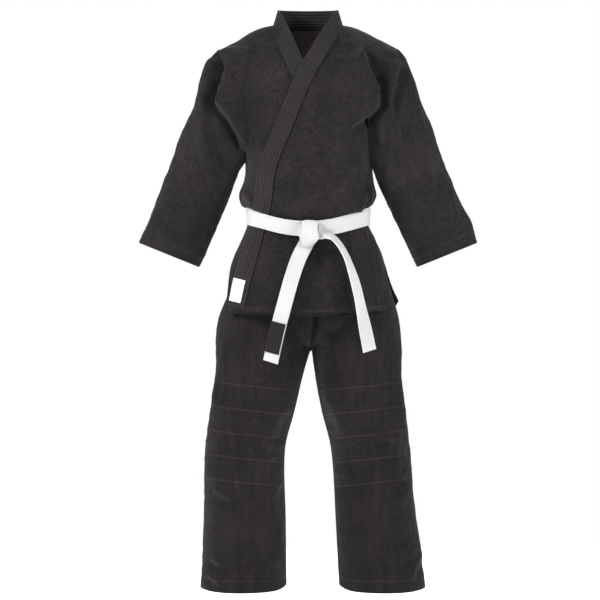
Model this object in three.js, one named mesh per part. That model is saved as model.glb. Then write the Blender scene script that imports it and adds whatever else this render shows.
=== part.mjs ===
// A martial arts uniform: a wrap jacket, drawstring trousers and a tied belt, hanging as it is worn.
// Millimetres, +Z up, front towards -Y, wearer's left at +X. The origin is the middle of the neck
// opening at the height where the collar meets the shoulders.
import * as THREE from "three";

// ---- Cloth and clearances ----------------------------------------------------------------
const jacketCloth = 2.2; // pearl-weave cotton of the jacket
const trouserCloth = 1.6; // drill cotton of the trousers
const bandCloth = 2.6; // quilted collar band, folded over its core
const patchCloth = 1.2; // knee patches, label and linings
const patchGap = 2; // the quilted knee patch stands off the leg
const bandGap = 2.8; // and the stiff collar band stands off the front panels
const layerGap = 1.3; // between two layers of cloth that lie on each other
const seamGap = 1.2; // between two panels that are sewn edge to edge

// ---- Jacket ------------------------------------------------------------------------------
const neckHalfWidth = 88;
const neckFrontDepth = 58;
const neckBackDepth = 62;
const collarHeight = 42; // the band standing up behind the neck
const collarTopHalfWidth = 76;
const collarTopDepth = 52;
const collarBandWidth = 44;
const shoulderHalfWidth = 240;
const shoulderDrop = 75;
const shoulderDepth = 82;
const armpitDrop = 348;
const chestHalfWidth = 163;
const chestFrontDepth = 118;
const chestBackDepth = 110;
const blouseDrop = 447; // the cloth bulges here above the belt
const blouseHalfWidth = 174;
const blouseDepth = 116;
const waistHalfWidth = 163;
const waistDepth = 106;
const jacketLength = 738; // shoulder line to skirt hem
const skirtHalfWidth = 240;
const skirtDepth = 122;
const skirtClearance = 6; // the least room between the skirt and the trousers under it
const roundness = 2.25; // 2 is an ellipse, more is squarer

const armholeHalfDepth = 80;
const sleeveLength = 525; // shoulder point to cuff, along the top
const sleeveAngle = 22; // from vertical
const cuffHalfWidth = 82;
const cuffHalfDepth = 46;
const cuffFacing = 40; // the turned-in hem of the sleeve
const sleeveGap = 5; // the sleeve's clearance from the armhole

// ---- Belt --------------------------------------------------------------------------------
const beltWidth = 39;
const beltThickness = 3;
const beltDrop = 495; // the belt's middle line at the wearer's sides
const beltFrontDip = 35; // how much lower it hangs in front
const beltBackRise = 10;
const knotHalfWidth = 23;
const knotHalfHeight = 27;
const knotHalfDepth = 14;
const knotOffset = 6; // the knot sits a little to the wearer's left
const skirtGap = 2.5; // the skirt starts this far below the belt's lower edge

// ---- Trousers ----------------------------------------------------------------------------
const trouserWaistDrop = 482;
const trouserWaistHalfWidth = 145;
const trouserWaistDepth = 90;
const waistbandHeight = 40;
const hipDrop = 757;
const hipHalfWidth = 226;
const hipDepth = 110;
const crotchDrop = 832;
const crotchRound = 132; // how far above the crotch the seat starts to part into two legs
const legInnerGap = 6; // half the gap between the legs at the crotch
const thighHalfWidth = 115;
const thighDepth = 86;
const kneeDrop = 1100;
const kneeHalfWidth = 100;
const kneeDepth = 72;
const kneeSpread = 162; // the leg's middle line from the centre, at the knee
const trouserDrop = 1466; // shoulder line to trouser hem
const hemHalfWidth = 110;
const hemDepth = 60;
const hemSpreadRight = 168; // wearer's right leg stands straighter than the left
const hemSpreadLeft = 193;
const hemFacing = 32;
const kneePatchTop = 933;
const kneePatchBottom = 1188;
const hipPlay = 6; // the leg fits over the seat's leg opening with this clearance
const hingeBelowCrotch = 32; // leaves the seat straight where the swung leg reaches up over it
const legLap = 16; // the leg starts this far below the hip hinge
const seatLap = 26; // the seat reaches this far below the hip hinge, inside the leg

// ---- Colours -----------------------------------------------------------------------------
const blackCotton = new THREE.Color(0x2a2527);
const blackDrill = new THREE.Color(0x282323);
const whiteCotton = new THREE.Color(0xe9e6e2);

// ---- Geometry helpers --------------------------------------------------------------------
const smooth = (low, high, value) => THREE.MathUtils.smoothstep(value, low, high);
const mix = THREE.MathUtils.lerp;
const signedPower = (value, power) => Math.sign(value) * Math.abs(value) ** power;
const closerAtEnds = (value) => mix(value, (1 - Math.cos(Math.PI * value)) / 2, 0.85);

// A smooth curve through stations [z, value, value ...], listed from the top down.
function profile(stations) {
  const last = stations.length - 1;
  return (z) => {
    let i = 0;
    while (i < last - 1 && z < stations[i + 1][0]) i += 1;
    const from = stations[i];
    const to = stations[i + 1];
    const before = stations[Math.max(i - 1, 0)];
    const after = stations[Math.min(i + 2, last)];
    const span = to[0] - from[0];
    const t = THREE.MathUtils.clamp((z - from[0]) / span, 0, 1);
    return from.slice(1).map((start, k) => {
      const end = to[k + 1];
      const slopeIn = ((end - before[k + 1]) / (to[0] - before[0])) * span;
      const slopeOut = ((after[k + 1] - start) / (after[0] - from[0])) * span;
      const rise = t * t * (3 - 2 * t);
      return mix(start, end, rise) + t * (1 - t) * ((1 - t) * slopeIn - t * slopeOut);
    });
  };
}

// The closed solid between two copies of a surface. at(u, v, lift) is the surface's point for
// u and v from 0 to 1, moved out of the cloth by lift. A closed sheet joins u = 1 to u = 0.
function sheet(at, { across, along, inner, outer, closed = false }) {
  const columns = closed ? across : across + 1;
  const rows = along + 1;
  const positions = [];
  for (const lift of [inner, outer])
    for (let j = 0; j < rows; j += 1)
      for (let i = 0; i < columns; i += 1)
        positions.push(...at(i / across, j / along, lift).toArray());
  const layer = columns * rows;
  const index = [];
  const quad = (a, b, c, d) => index.push(a, b, c, a, c, d);
  const spot = (i, j) => j * columns + (i % columns);
  for (let j = 0; j < along; j += 1)
    for (let i = 0; i < across; i += 1) {
      const [a, b, c, d] = [spot(i, j), spot(i + 1, j), spot(i + 1, j + 1), spot(i, j + 1)];
      quad(a, b, c, d);
      quad(layer + a, layer + d, layer + c, layer + b);
    }
  for (let i = 0; i < across; i += 1) {
    quad(spot(i, 0), layer + spot(i, 0), layer + spot(i + 1, 0), spot(i + 1, 0));
    quad(spot(i, along), spot(i + 1, along), layer + spot(i + 1, along), layer + spot(i, along));
  }
  if (!closed)
    for (let j = 0; j < along; j += 1) {
      quad(spot(0, j), spot(0, j + 1), layer + spot(0, j + 1), layer + spot(0, j));
      quad(spot(across, j), layer + spot(across, j), layer + spot(across, j + 1),
        spot(across, j + 1));
    }
  const geometry = new THREE.BufferGeometry();
  geometry.setAttribute("position", new THREE.Float32BufferAttribute(positions, 3));
  geometry.setIndex(volumeOf(positions, index) < 0 ? index.reverse() : index);
  geometry.computeVertexNormals();
  return geometry;
}

function volumeOf(positions, index) {
  const corner = (i) => new THREE.Vector3().fromArray(positions, index[i] * 3);
  let volume = 0;
  for (let i = 0; i < index.length; i += 3)
    volume += corner(i).dot(corner(i + 1).cross(corner(i + 2))) / 6;
  return volume;
}

const uniform = new THREE.Group();

function piece(name, geometry, colour, roughness = 0.95) {
  const material = new THREE.MeshStandardMaterial({ color: colour, roughness, metalness: 0 });
  const mesh = new THREE.Mesh(geometry, material);
  mesh.name = name;
  uniform.add(mesh);
}

// ---- Forms of the seat and the torso -----------------------------------------------------
// The trousers' seat as half width and half depth at each height.
const seat = profile([
  [-trouserWaistDrop, trouserWaistHalfWidth, trouserWaistDepth],
  [-mix(trouserWaistDrop, hipDrop, 0.25), mix(trouserWaistHalfWidth, hipHalfWidth, 0.13),
    mix(trouserWaistDepth, hipDepth, 0.3)],
  [-mix(trouserWaistDrop, hipDrop, 0.6), mix(trouserWaistHalfWidth, hipHalfWidth, 0.62),
    mix(trouserWaistDepth, hipDepth, 0.8)],
  [-hipDrop, hipHalfWidth, hipDepth],
  [-crotchDrop, hipHalfWidth + 4, hipDepth - 6],
]);

// Each level of the jacket is a rounded rectangle-like oval: half width, front and back depth.
const shoulderSteps = [0.08, 0.22, 0.45, 0.72];
const torso = profile([
  [0, neckHalfWidth, neckFrontDepth, neckBackDepth],
  ...shoulderSteps.map((t) => [
    -shoulderDrop * t,
    mix(neckHalfWidth, shoulderHalfWidth, t ** 0.68),
    mix(neckFrontDepth, shoulderDepth, t),
    mix(neckBackDepth, shoulderDepth, t),
  ]),
  [-shoulderDrop, shoulderHalfWidth, shoulderDepth, shoulderDepth],
  [-mix(shoulderDrop, armpitDrop, 0.2), mix(shoulderHalfWidth, chestHalfWidth, 0.2),
    mix(shoulderDepth, chestFrontDepth, 0.6), mix(shoulderDepth, chestBackDepth, 0.6)],
  [-mix(shoulderDrop, armpitDrop, 0.5), mix(shoulderHalfWidth, chestHalfWidth, 0.5),
    mix(shoulderDepth, chestFrontDepth, 0.95), mix(shoulderDepth, chestBackDepth, 0.95)],
  [-armpitDrop, chestHalfWidth, chestFrontDepth, chestBackDepth],
  [-blouseDrop, blouseHalfWidth, blouseDepth, blouseDepth - 4],
  [-beltDrop + beltWidth / 2 + 7, waistHalfWidth, waistDepth, waistDepth - 4],
  [-beltDrop - beltWidth / 2 - 7, waistHalfWidth, waistDepth, waistDepth - 4],
  [-mix(beltDrop, jacketLength, 0.4), mix(waistHalfWidth, skirtHalfWidth, 0.36),
    mix(waistDepth, skirtDepth, 0.5), mix(waistDepth, skirtDepth, 0.4)],
  [-jacketLength, skirtHalfWidth, skirtDepth, skirtDepth - 4],
]);

// angle 0 is the wearer's left side, 90 degrees the front, 180 the right side, 270 the back.
// The belt's middle line dips in front and rises behind.
function beltLine(angle) {
  const s = Math.sin(angle);
  return -beltDrop - beltFrontDip * Math.max(s, 0) ** 1.5 + beltBackRise * Math.max(-s, 0);
}

// The half width, front depth and back depth of the torso. The waist follows the belt's line, and
// the skirt hangs clear of the trousers.
const seatTop = -trouserWaistDrop - waistbandHeight - seamGap;
function torsoSize(angle, z) {
  const nearBelt = smooth(-jacketLength, -beltDrop - beltWidth - beltFrontDip, z)
    * (1 - smooth(-blouseDrop, -armpitDrop, z));
  const size = torso(z + (-beltDrop - beltLine(angle)) * nearBelt);
  if (z > seatTop) return size;
  const [hipWide, hipDeep] = seat(z);
  return [Math.max(size[0], hipWide + skirtClearance),
    ...size.slice(1).map((depth) => Math.max(depth, hipDeep + skirtClearance))];
}

function torsoBase(angle, z) {
  const [halfWidth, front, back] = torsoSize(angle, z);
  const c = Math.cos(angle);
  const s = Math.sin(angle);
  return new THREE.Vector3(halfWidth * signedPower(c, 2 / roundness),
    -(s > 0 ? front : back) * signedPower(s, 2 / roundness), z);
}

function torsoPoint(angle, z, lift) {
  const point = torsoBase(angle, z);
  const step = 0.01;
  const round = torsoBase(angle + step, z).sub(torsoBase(angle - step, z));
  const down = torsoBase(angle, Math.min(z, -1) - 1).sub(torsoBase(angle, Math.min(z, -1) + 1));
  return point.addScaledVector(round.cross(down).normalize(), lift);
}

// The angle in front at which the torso has this x.
function frontAngle(x, z) {
  let angle = Math.PI / 2;
  for (let i = 0; i < 3; i += 1) {
    const share = Math.min(Math.abs(x) / torsoSize(angle, z)[0], 1) ** (roundness / 2);
    angle = x > 0 ? Math.acos(share) : Math.PI - Math.acos(share);
  }
  return angle;
}

// Half the armhole's opening angle at this level, in front or behind.
const armholeMiddle = -(shoulderDrop + armpitDrop) / 2;
const armholeHalfHeight = (armpitDrop - shoulderDrop) / 2;
function armholeAngle(z, front) {
  const level = (z - armholeMiddle) / armholeHalfHeight;
  if (Math.abs(level) >= 1) return 0;
  const depth = armholeHalfDepth * Math.sqrt(1 - level * level);
  const share = Math.min(depth / torso(z)[front ? 1 : 2], 1) ** (roundness / 2);
  return Math.asin(share);
}

// ---- Collar band lines -------------------------------------------------------------------
// The middle of the collar band's two ends, as x for each height. The wearer's left end lies over.
const overBand = profile([
  [0, 68], [-140, -10], [-281, -70], [-361, -100], [-beltDrop, -122], [-619, -166],
  [-jacketLength, -194],
]);
const underBand = profile([
  [0, -76], [-125, -24], [-250, 34], [-361, 84], [-beltDrop, 112], [-619, 140],
  [-jacketLength, 152],
]);

// Lifts of the four front layers, from the inside out.
const underBandLift = jacketCloth + bandGap;
const overPanelLift = underBandLift + bandCloth + bandGap;
const overBandLift = overPanelLift + jacketCloth + bandGap;
const beltLift = overBandLift + bandCloth + layerGap;

// The over panel stands off where the under band is beneath it, and comes down to the side seam.
function overLift(x, z) {
  const edge = underBand(z)[0] + collarBandWidth / 2 + 24;
  return overPanelLift * (1 - smooth(edge, Math.max(edge + 20, torso(z)[0] - 2), x));
}

// ---- Jacket body -------------------------------------------------------------------------
const seamAngle = seamGap / waistHalfWidth;
// A panel's rows crowd together at its hem, at the shoulder point and at the neck.
const shoulderRow = 0.75;
const panelHeight = (bottom, v) => (v < shoulderRow
  ? mix(bottom, -shoulderDrop, closerAtEnds(v / shoulderRow))
  : mix(-shoulderDrop, 0, closerAtEnds((v - shoulderRow) / (1 - shoulderRow))));

const backSeam = (3 * Math.PI) / 2;
const backHalf = (side) => (u, v, lift) => {
  const bottom = beltLine(mix(backSeam, side > 0 ? 2 * Math.PI : Math.PI, u));
  const z = panelHeight(bottom, v);
  const open = Math.max(armholeAngle(z, false), seamAngle);
  const seam = backSeam;
  const angle = mix(seam + side * seamAngle, side > 0 ? 2 * Math.PI - open : Math.PI + open, u);
  return torsoPoint(angle, z, lift);
};
for (const [name, side] of [["left", 1], ["right", -1]])
  piece("jacket_back_" + name,
    sheet(backHalf(side), { across: 12, along: 20, inner: 0, outer: jacketCloth }), blackCotton);

// A front panel, from its side seam to the collar band's middle line.
const frontPanel = (bandLine, side, liftOf) => (u, v, lift) => {
  const sideAngle = side > 0 ? 0 : Math.PI;
  const bandAngle = frontAngle(bandLine(-beltDrop)[0], -beltDrop);
  const z = panelHeight(beltLine(mix(sideAngle, bandAngle, u)), v);
  const open = Math.max(armholeAngle(z, true), seamAngle);
  const outer = sideAngle + side * open;
  const angle = mix(outer, frontAngle(bandLine(z)[0], z), u);
  const x = torsoPoint(angle, z, 0).x;
  return torsoPoint(angle, z, lift + liftOf(x, z));
};
piece("jacket_front_under",
  sheet(frontPanel(underBand, -1, () => 0), { across: 12, along: 20, inner: 0,
    outer: jacketCloth }), blackCotton);
piece("jacket_front_over",
  sheet(frontPanel(overBand, 1, overLift), { across: 12, along: 20, inner: 0,
    outer: jacketCloth }), blackCotton);

// The plain lining inside the back of the neck and shoulders.
const yokeDepth = 120;
const yokeHalfWidth = 105;
piece("yoke_lining",
  sheet((u, v, lift) => {
    const z = mix(-yokeDepth, -16, v);
    return torsoPoint(2 * Math.PI - frontAngle(mix(-yokeHalfWidth, yokeHalfWidth, u), z), z, lift);
  }, { across: 12, along: 7, inner: -layerGap - patchCloth, outer: -layerGap }), blackDrill);

// ---- Collar band -------------------------------------------------------------------------
// Behind the neck the band stands up and leans in; it runs down towards the lapels in front.
const collarReach = 0.62; // how far in front of the sides it ends, in radians
const collarInset = 7;
function collarPoint(angle, rise, lift) {
  const front = Math.sin(angle) > 0;
  const height = rise * (1 - smooth(-0.1, Math.sin(collarReach) + 0.15, Math.sin(angle)));
  const halfWidth = mix(neckHalfWidth - collarInset, collarTopHalfWidth, height) + lift;
  const depth = mix((front ? neckFrontDepth : neckBackDepth) - collarInset, collarTopDepth,
    height) + lift;
  return new THREE.Vector3(halfWidth * Math.cos(angle), -depth * Math.sin(angle),
    mix(seamGap, collarHeight, height));
}
piece("collar_back",
  sheet((u, v, lift) => collarPoint(mix(Math.PI - collarReach, 2 * Math.PI + collarReach, u),
    v, lift), { across: 20, along: 2, inner: 0, outer: bandCloth * 2 }), blackCotton);

// In front the band lies flat along the edge of its panel.
const bandStrip = (bandLine, top, bottom, liftAt) => (u, v, lift) => {
  const z = mix(bottom, top, closerAtEnds(v));
  const step = 4;
  const lean = (bandLine(z + step)[0] - bandLine(z - step)[0]) / (2 * step);
  const tilt = Math.atan(lean);
  const away = (u - 0.5) * collarBandWidth;
  const x = bandLine(z)[0] + away * Math.cos(tilt);
  const height = Math.min(z - away * Math.sin(tilt), -0.5);
  return torsoPoint(frontAngle(x, height), height, lift + liftAt(x, height));
};
const bandTop = -9;
const bandBottom = (bandLine) =>
  beltLine(frontAngle(bandLine(-beltDrop)[0], -beltDrop)) + beltWidth / 2;
const lyingOn = (bandLift) => () => bandLift;
piece("lapel_under",
  sheet(bandStrip(underBand, bandTop, bandBottom(underBand), lyingOn(underBandLift)),
    { across: 2, along: 20, inner: 0, outer: bandCloth }), blackCotton);
const overBandLifts = (x, z) => overLift(x, z) + jacketCloth + bandGap;
piece("lapel_over",
  sheet(bandStrip(overBand, bandTop, bandBottom(overBand), overBandLifts),
    { across: 2, along: 20, inner: 0, outer: bandCloth }), blackCotton);

// ---- Sleeves -----------------------------------------------------------------------------
const sleeveLean = THREE.MathUtils.degToRad(sleeveAngle);
const sleeveRun = new THREE.Vector2(Math.sin(sleeveLean), -Math.cos(sleeveLean));
const shoulderPoint = new THREE.Vector2(shoulderHalfWidth, -shoulderDrop);
const armpitPoint = new THREE.Vector2(chestHalfWidth, -armpitDrop);
const cuffTop = shoulderPoint.clone().addScaledVector(sleeveRun, sleeveLength);
const cuffAcross = new THREE.Vector2(sleeveRun.y, -sleeveRun.x).multiplyScalar(2 * cuffHalfWidth);
const cuffUnder = cuffTop.clone().add(cuffAcross);

// The ring of a sleeve: turn 0 is the top, a quarter turn the front, a half turn the underarm.
function sleeveRing(turn, s, lift) {
  const over = shoulderPoint.clone().lerp(cuffTop, s);
  const under = armpitPoint.clone().lerp(cuffUnder, s);
  const middle = over.clone().add(under).multiplyScalar(0.5);
  const half = over.clone().sub(under).multiplyScalar(0.5);
  const depth = mix(armholeHalfDepth, cuffHalfDepth, s ** 0.8);
  const c = Math.cos(turn);
  const n = Math.sin(turn);
  const out = new THREE.Vector2(c / half.length(), n / depth).normalize().multiplyScalar(lift);
  const reach = half.clone().normalize().multiplyScalar(out.x);
  return new THREE.Vector3(
    middle.x + half.x * c + reach.x,
    -depth * n - out.y,
    middle.y + half.y * c + reach.y,
  );
}

// Where the sleeve is sewn on: the edge of the armhole, on the torso.
function armholeRing(turn) {
  const z = armholeMiddle + armholeHalfHeight * Math.cos(turn);
  const y = -armholeHalfDepth * Math.sin(turn);
  const [halfWidth, front, back] = torso(z);
  const share = Math.min(Math.abs(y) / (y < 0 ? front : back), 1);
  const x = halfWidth * (1 - share ** roundness) ** (1 / roundness);
  return new THREE.Vector3(x, y, z);
}

// The sleeve leaves the armhole and settles into its own ring within its first third.
function sleevePoint(side, turn, s, lift) {
  const settle = 1 - smooth(0, 0.36, s);
  const point = sleeveRing(turn, s, lift);
  point.addScaledVector(armholeRing(turn).sub(sleeveRing(turn, 0, 0)), settle);
  point.x += sleeveGap * settle;
  return new THREE.Vector3(side * point.x, point.y, point.z);
}

const facingStart = 1 - cuffFacing / sleeveLength;
for (const [name, side] of [["left", 1], ["right", -1]]) {
  piece("sleeve_" + name,
    sheet((u, v, lift) => sleevePoint(side, u * 2 * Math.PI, v, lift),
      { across: 24, along: 9, inner: 0, outer: jacketCloth, closed: true }), blackCotton);
  piece("cuff_facing_" + name,
    sheet((u, v, lift) => sleevePoint(side, u * 2 * Math.PI, mix(facingStart, 0.998, v), lift),
      { across: 24, along: 1, inner: -layerGap - patchCloth, outer: -layerGap,
        closed: true }), blackCotton);
}

// ---- Jacket skirt ------------------------------------------------------------------------
const ventFront = THREE.MathUtils.degToRad(25);
const ventBack = THREE.MathUtils.degToRad(13);
const ventFlare = THREE.MathUtils.degToRad(8); // the vents open towards the hem
const skirtTop = (angle) => beltLine(angle) - beltWidth / 2 - skirtGap;

const skirtSheet = (fromTop, toTop, fromHem, toHem, liftOf) => (u, v, lift) => {
  const angle = mix(mix(fromTop, toTop, u), mix(fromHem, toHem, u), v);
  const z = mix(skirtTop(angle), -jacketLength, v);
  const x = torsoPoint(angle, z, 0).x;
  return torsoPoint(angle, z, lift + liftOf(x, z));
};
const hemAngle = (bandLine) => frontAngle(bandLine(-jacketLength)[0], -jacketLength);
const overSkirtEdge = underBand(-jacketLength)[0] + collarBandWidth / 2 + 8;
const overSkirtLift = (x) => overPanelLift * (1 - smooth(overSkirtEdge, skirtHalfWidth - 20, x));
piece("skirt_front_over",
  sheet(skirtSheet(ventFront, frontAngle(overBand(-560)[0], -560), ventFront + ventFlare,
    hemAngle(overBand), overSkirtLift), { across: 10, along: 6, inner: 0, outer: jacketCloth }),
  blackCotton);
piece("skirt_front_under",
  sheet(skirtSheet(Math.PI - ventFront, frontAngle(underBand(-560)[0], -560),
    Math.PI - ventFront - ventFlare, hemAngle(underBand), () => 0),
  { across: 9, along: 6, inner: 0, outer: jacketCloth }), blackCotton);
const lowerBand = (bandLine, liftAt) => bandStrip(bandLine,
  skirtTop(frontAngle(bandLine(-560)[0], -560)) - 2, -jacketLength + 8, liftAt);
piece("lapel_under_lower",
  sheet(lowerBand(underBand, lyingOn(underBandLift)), { across: 2, along: 8, inner: 0,
    outer: bandCloth }), blackCotton);
piece("lapel_over_lower",
  sheet(lowerBand(overBand, lyingOn(overBandLift)), { across: 2, along: 8, inner: 0,
    outer: bandCloth }), blackCotton);
const labelWidth = 32;
const labelTop = -655;
const labelBottom = -718;
piece("label_patch",
  sheet((u, v, lift) => {
    const z = mix(labelBottom, labelTop, v);
    const x = overBand(z)[0] + (u - 0.5) * labelWidth;
    return torsoPoint(frontAngle(x, z), z, lift);
  }, { across: 2, along: 2, inner: overBandLift + bandCloth + layerGap,
    outer: overBandLift + bandCloth + layerGap + patchCloth }), whiteCotton, 0.8);

for (const [name, side] of [["left", 1], ["right", -1]]) {
  const seam = (3 * Math.PI) / 2 + side * seamAngle;
  const vent = side > 0 ? 2 * Math.PI - ventBack : Math.PI + ventBack;
  piece("skirt_back_" + name,
    sheet(skirtSheet(seam, vent, seam, vent - side * ventFlare, () => 0),
      { across: 8, along: 6, inner: 0, outer: jacketCloth }), blackCotton);
  // The doubled cloth where the side seam ends and the vent starts.
  const middle = side > 0 ? 0 : Math.PI;
  const ventTop = -600;
  piece("vent_gusset_" + name,
    sheet((u, v, lift) => {
      const angle = middle + side * mix(-ventBack + 0.03, ventFront - 0.03, u);
      return torsoPoint(angle, mix(ventTop, beltLine(angle) - beltWidth / 2, v), lift);
    }, { across: 4, along: 2, inner: 0, outer: jacketCloth }), blackCotton);
}

// ---- Belt --------------------------------------------------------------------------------
// The belt goes twice round the waist. In front it passes over the jacket's four layers.
const wrapLift = (angle) => mix(jacketCloth + layerGap, beltLift, smooth(-0.35, 0.3,
  Math.sin(angle)));
const wrap = (order) => (u, v, lift) => {
  const angle = u * 2 * Math.PI;
  return torsoPoint(angle, beltLine(angle) + (v - 0.5) * beltWidth,
    lift + wrapLift(angle) + order * (beltThickness + layerGap));
};
for (const [order, name] of ["inner", "outer"].entries())
  piece("belt_wrap_" + name,
    sheet(wrap(order), { across: 40, along: 1, inner: 0, outer: beltThickness, closed: true }),
    whiteCotton, 0.85);

// The flat knot, a rounded block of folded belt.
const beltFront = -torsoPoint(Math.PI / 2, beltLine(Math.PI / 2), beltLift
  + 2 * (beltThickness + layerGap)).y;
const knotMiddle = new THREE.Vector3(knotOffset, -beltFront - knotHalfDepth - layerGap,
  beltLine(Math.PI / 2));
const knot = new THREE.SphereGeometry(1, 14, 10);
const knotCorners = knot.getAttribute("position");
for (let i = 0; i < knotCorners.count; i += 1)
  knotCorners.setXYZ(i,
    knotHalfWidth * signedPower(knotCorners.getX(i), 0.7),
    knotHalfDepth * signedPower(knotCorners.getY(i), 0.7),
    knotHalfHeight * signedPower(knotCorners.getZ(i), 0.7));
knot.computeVertexNormals();
knot.translate(knotMiddle.x, knotMiddle.y, knotMiddle.z);
piece("belt_knot", knot, whiteCotton, 0.85);

// A tail is a flat strip hanging in front of the skirt, along hand-chosen points [x, y, z].
const tailFront = -skirtDepth - overBandLift - bandCloth - 8;
function tailStrip(points, tilts) {
  const run = new THREE.CatmullRomCurve3(points.map((p) => new THREE.Vector3(...p)), false,
    "centripetal");
  return (u, v, lift) => {
    const middle = run.getPointAt(v);
    const tilt = THREE.MathUtils.degToRad(mix(tilts[0], tilts[1], smooth(0, 0.75, v)));
    const ahead = run.getTangentAt(v);
    const across = new THREE.Vector3(-ahead.z, 0, ahead.x).normalize();
    const away = new THREE.Vector3().crossVectors(across, ahead).normalize();
    const wide = across.clone().multiplyScalar(Math.cos(tilt))
      .addScaledVector(away, Math.sin(tilt));
    const thick = new THREE.Vector3().crossVectors(wide, ahead).normalize();
    return middle.addScaledVector(wide, (u - 0.5) * beltWidth).addScaledVector(thick, lift);
  };
}
const tailTop = beltLine(Math.PI / 2) - knotHalfHeight - 6;
const tailRight = tailStrip([[knotOffset - 10, tailFront, tailTop], [-29, tailFront - 2, -614],
  [-54, tailFront - 4, -712], [-73, tailFront - 5, -785], [-100, tailFront - 5, -872]], [0, 0]);
const tailLeft = tailStrip([[knotOffset + 48, tailFront - 14, tailTop + 2],
  [84, tailFront - 14, -586], [111, tailFront - 8, -640], [131, tailFront - 5, -712],
  [147, tailFront - 5, -780], [163, tailFront - 5, -846]], [62, 0]);
const tail = { across: 1, along: 10, inner: 0, outer: beltThickness };
piece("belt_tail_right", sheet(tailRight, tail), whiteCotton, 0.85);
piece("belt_tail_left", sheet(tailLeft, tail), whiteCotton, 0.85);
// The dark bar sewn round the right tail, which leaves a thin edge of the belt showing.
const barFrom = 0.68;
const barTo = 0.92;
const barEdge = 0.06;
for (const [name, from] of [["front", beltThickness + layerGap], ["rear", -layerGap - patchCloth]])
  piece("rank_bar_" + name,
    sheet((u, v, lift) => tailRight(mix(0, 1 - barEdge, u), mix(barFrom, barTo, v), lift),
      { across: 1, along: 3, inner: from, outer: from + patchCloth }), blackDrill);

// ---- Trousers' seat ----------------------------------------------------------------------
// Each leg: middle line from the centre, half width and half depth at each height. It is straight
// from the crotch to where it laps over the seat.
const hipHinge = -crotchDrop - hingeBelowCrotch;
const legTop = hipHinge - legLap;
const seatBottom = hipHinge - seatLap;
const legMiddle = legInnerGap + thighHalfWidth;
const leg = (hemSpread) => profile([
  [-crotchDrop, legMiddle, thighHalfWidth, thighDepth],
  [seatBottom, legMiddle, thighHalfWidth, thighDepth],
  [mix(seatBottom, -kneeDrop, 0.5), mix(legMiddle, kneeSpread, 0.5),
    mix(thighHalfWidth, kneeHalfWidth, 0.5), mix(thighDepth, kneeDepth, 0.5)],
  [-kneeDrop, kneeSpread, kneeHalfWidth, kneeDepth],
  [-mix(kneeDrop, trouserDrop, 0.5), mix(kneeSpread, hemSpread, 0.55),
    mix(kneeHalfWidth, hemHalfWidth, 0.5), mix(kneeDepth, hemDepth, 0.6)],
  [-trouserDrop, hemSpread, hemHalfWidth, hemDepth],
]);
const legForms = { left: leg(hemSpreadLeft), right: leg(hemSpreadRight) };

// turn 0 is the leg's outer side, a quarter turn its front or back, a half turn its inside.
function legPoint(form, side, face, turn, z, lift) {
  const [middle, halfWidth, depth] = form(z);
  const c = Math.cos(turn);
  const s = Math.sin(turn);
  const out = new THREE.Vector2(c / halfWidth, s / depth).normalize().multiplyScalar(lift);
  return new THREE.Vector3(side * (middle + halfWidth * c + out.x), face * (depth * s + out.y), z);
}

// The seat is round the hips at the top and round one leg at the bottom, where the leg fits over
// it. Near the middle seam it follows a round crotch; u is 0 at that seam, 1 at the side seam.
const stubInset = hipPlay + trouserCloth;
const seatHalf = (side, face, form) => (u, v, lift) => {
  const z = mix(seatTop, seatBottom, v);
  const [middle, ...legSize] = form(Math.min(z, -crotchDrop));
  const [stubHalfWidth, stubDepth] = legSize.map((size) => size - stubInset);
  const level = THREE.MathUtils.clamp((-crotchDrop + crotchRound - z) / crotchRound, 0, 1);
  const round = 1 - Math.sqrt(1 - level * level);
  const part = mix(round, level * level * (3 - 2 * level), smooth(0, 0.4, u));
  const [halfWidth, depth] = seat(z);
  const hipTurn = mix(seamGap / halfWidth, Math.PI / 2 - seamGap / depth, u);
  const hip = new THREE.Vector3(halfWidth * Math.sin(hipTurn) ** (2 / roundness),
    depth * Math.cos(hipTurn) ** (2 / roundness), z);
  const hipOut = new THREE.Vector2(Math.sin(hipTurn) / halfWidth, Math.cos(hipTurn) / depth)
    .normalize();
  const legTurn = mix(Math.PI - seamGap / stubDepth, seamGap / stubDepth, u);
  const stub = new THREE.Vector3(middle + stubHalfWidth * Math.cos(legTurn),
    stubDepth * Math.sin(legTurn), z);
  const stubOut = new THREE.Vector2(Math.cos(legTurn) / stubHalfWidth,
    Math.sin(legTurn) / stubDepth).normalize();
  const point = hip.lerp(stub, part);
  const out = hipOut.lerp(stubOut, part).normalize();
  return new THREE.Vector3(side * (point.x + out.x * lift), face * (point.y + out.y * lift), z);
};
for (const [name, side] of [["left", 1], ["right", -1]])
  for (const [view, face] of [["front", -1], ["back", 1]])
    piece("seat_" + view + "_" + name,
      sheet(seatHalf(side, face, legForms[name]), { across: 10, along: 11, inner: 0,
        outer: trouserCloth }), blackDrill);

// The gusset lies inside the round crotch, across the gap between the halves of the seat.
const gussetHalfWidth = 20;
const gussetInset = 4;
piece("crotch_gusset",
  sheet((u, v, lift) => {
    const swing = mix(-0.62, 0.62, v) * Math.PI;
    const level = Math.cos(swing);
    const inside = gussetInset + lift;
    return new THREE.Vector3(
      (u - 0.5) * 2 * gussetHalfWidth * (1 - smooth(0.35, 1.15, Math.abs(v - 0.5) * 2)),
      (hipDepth - 6 - inside) * Math.sin(swing),
      -crotchDrop + crotchRound - (crotchRound - inside) * level,
    );
  }, { across: 3, along: 12, inner: 0, outer: patchCloth }), blackDrill);

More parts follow.
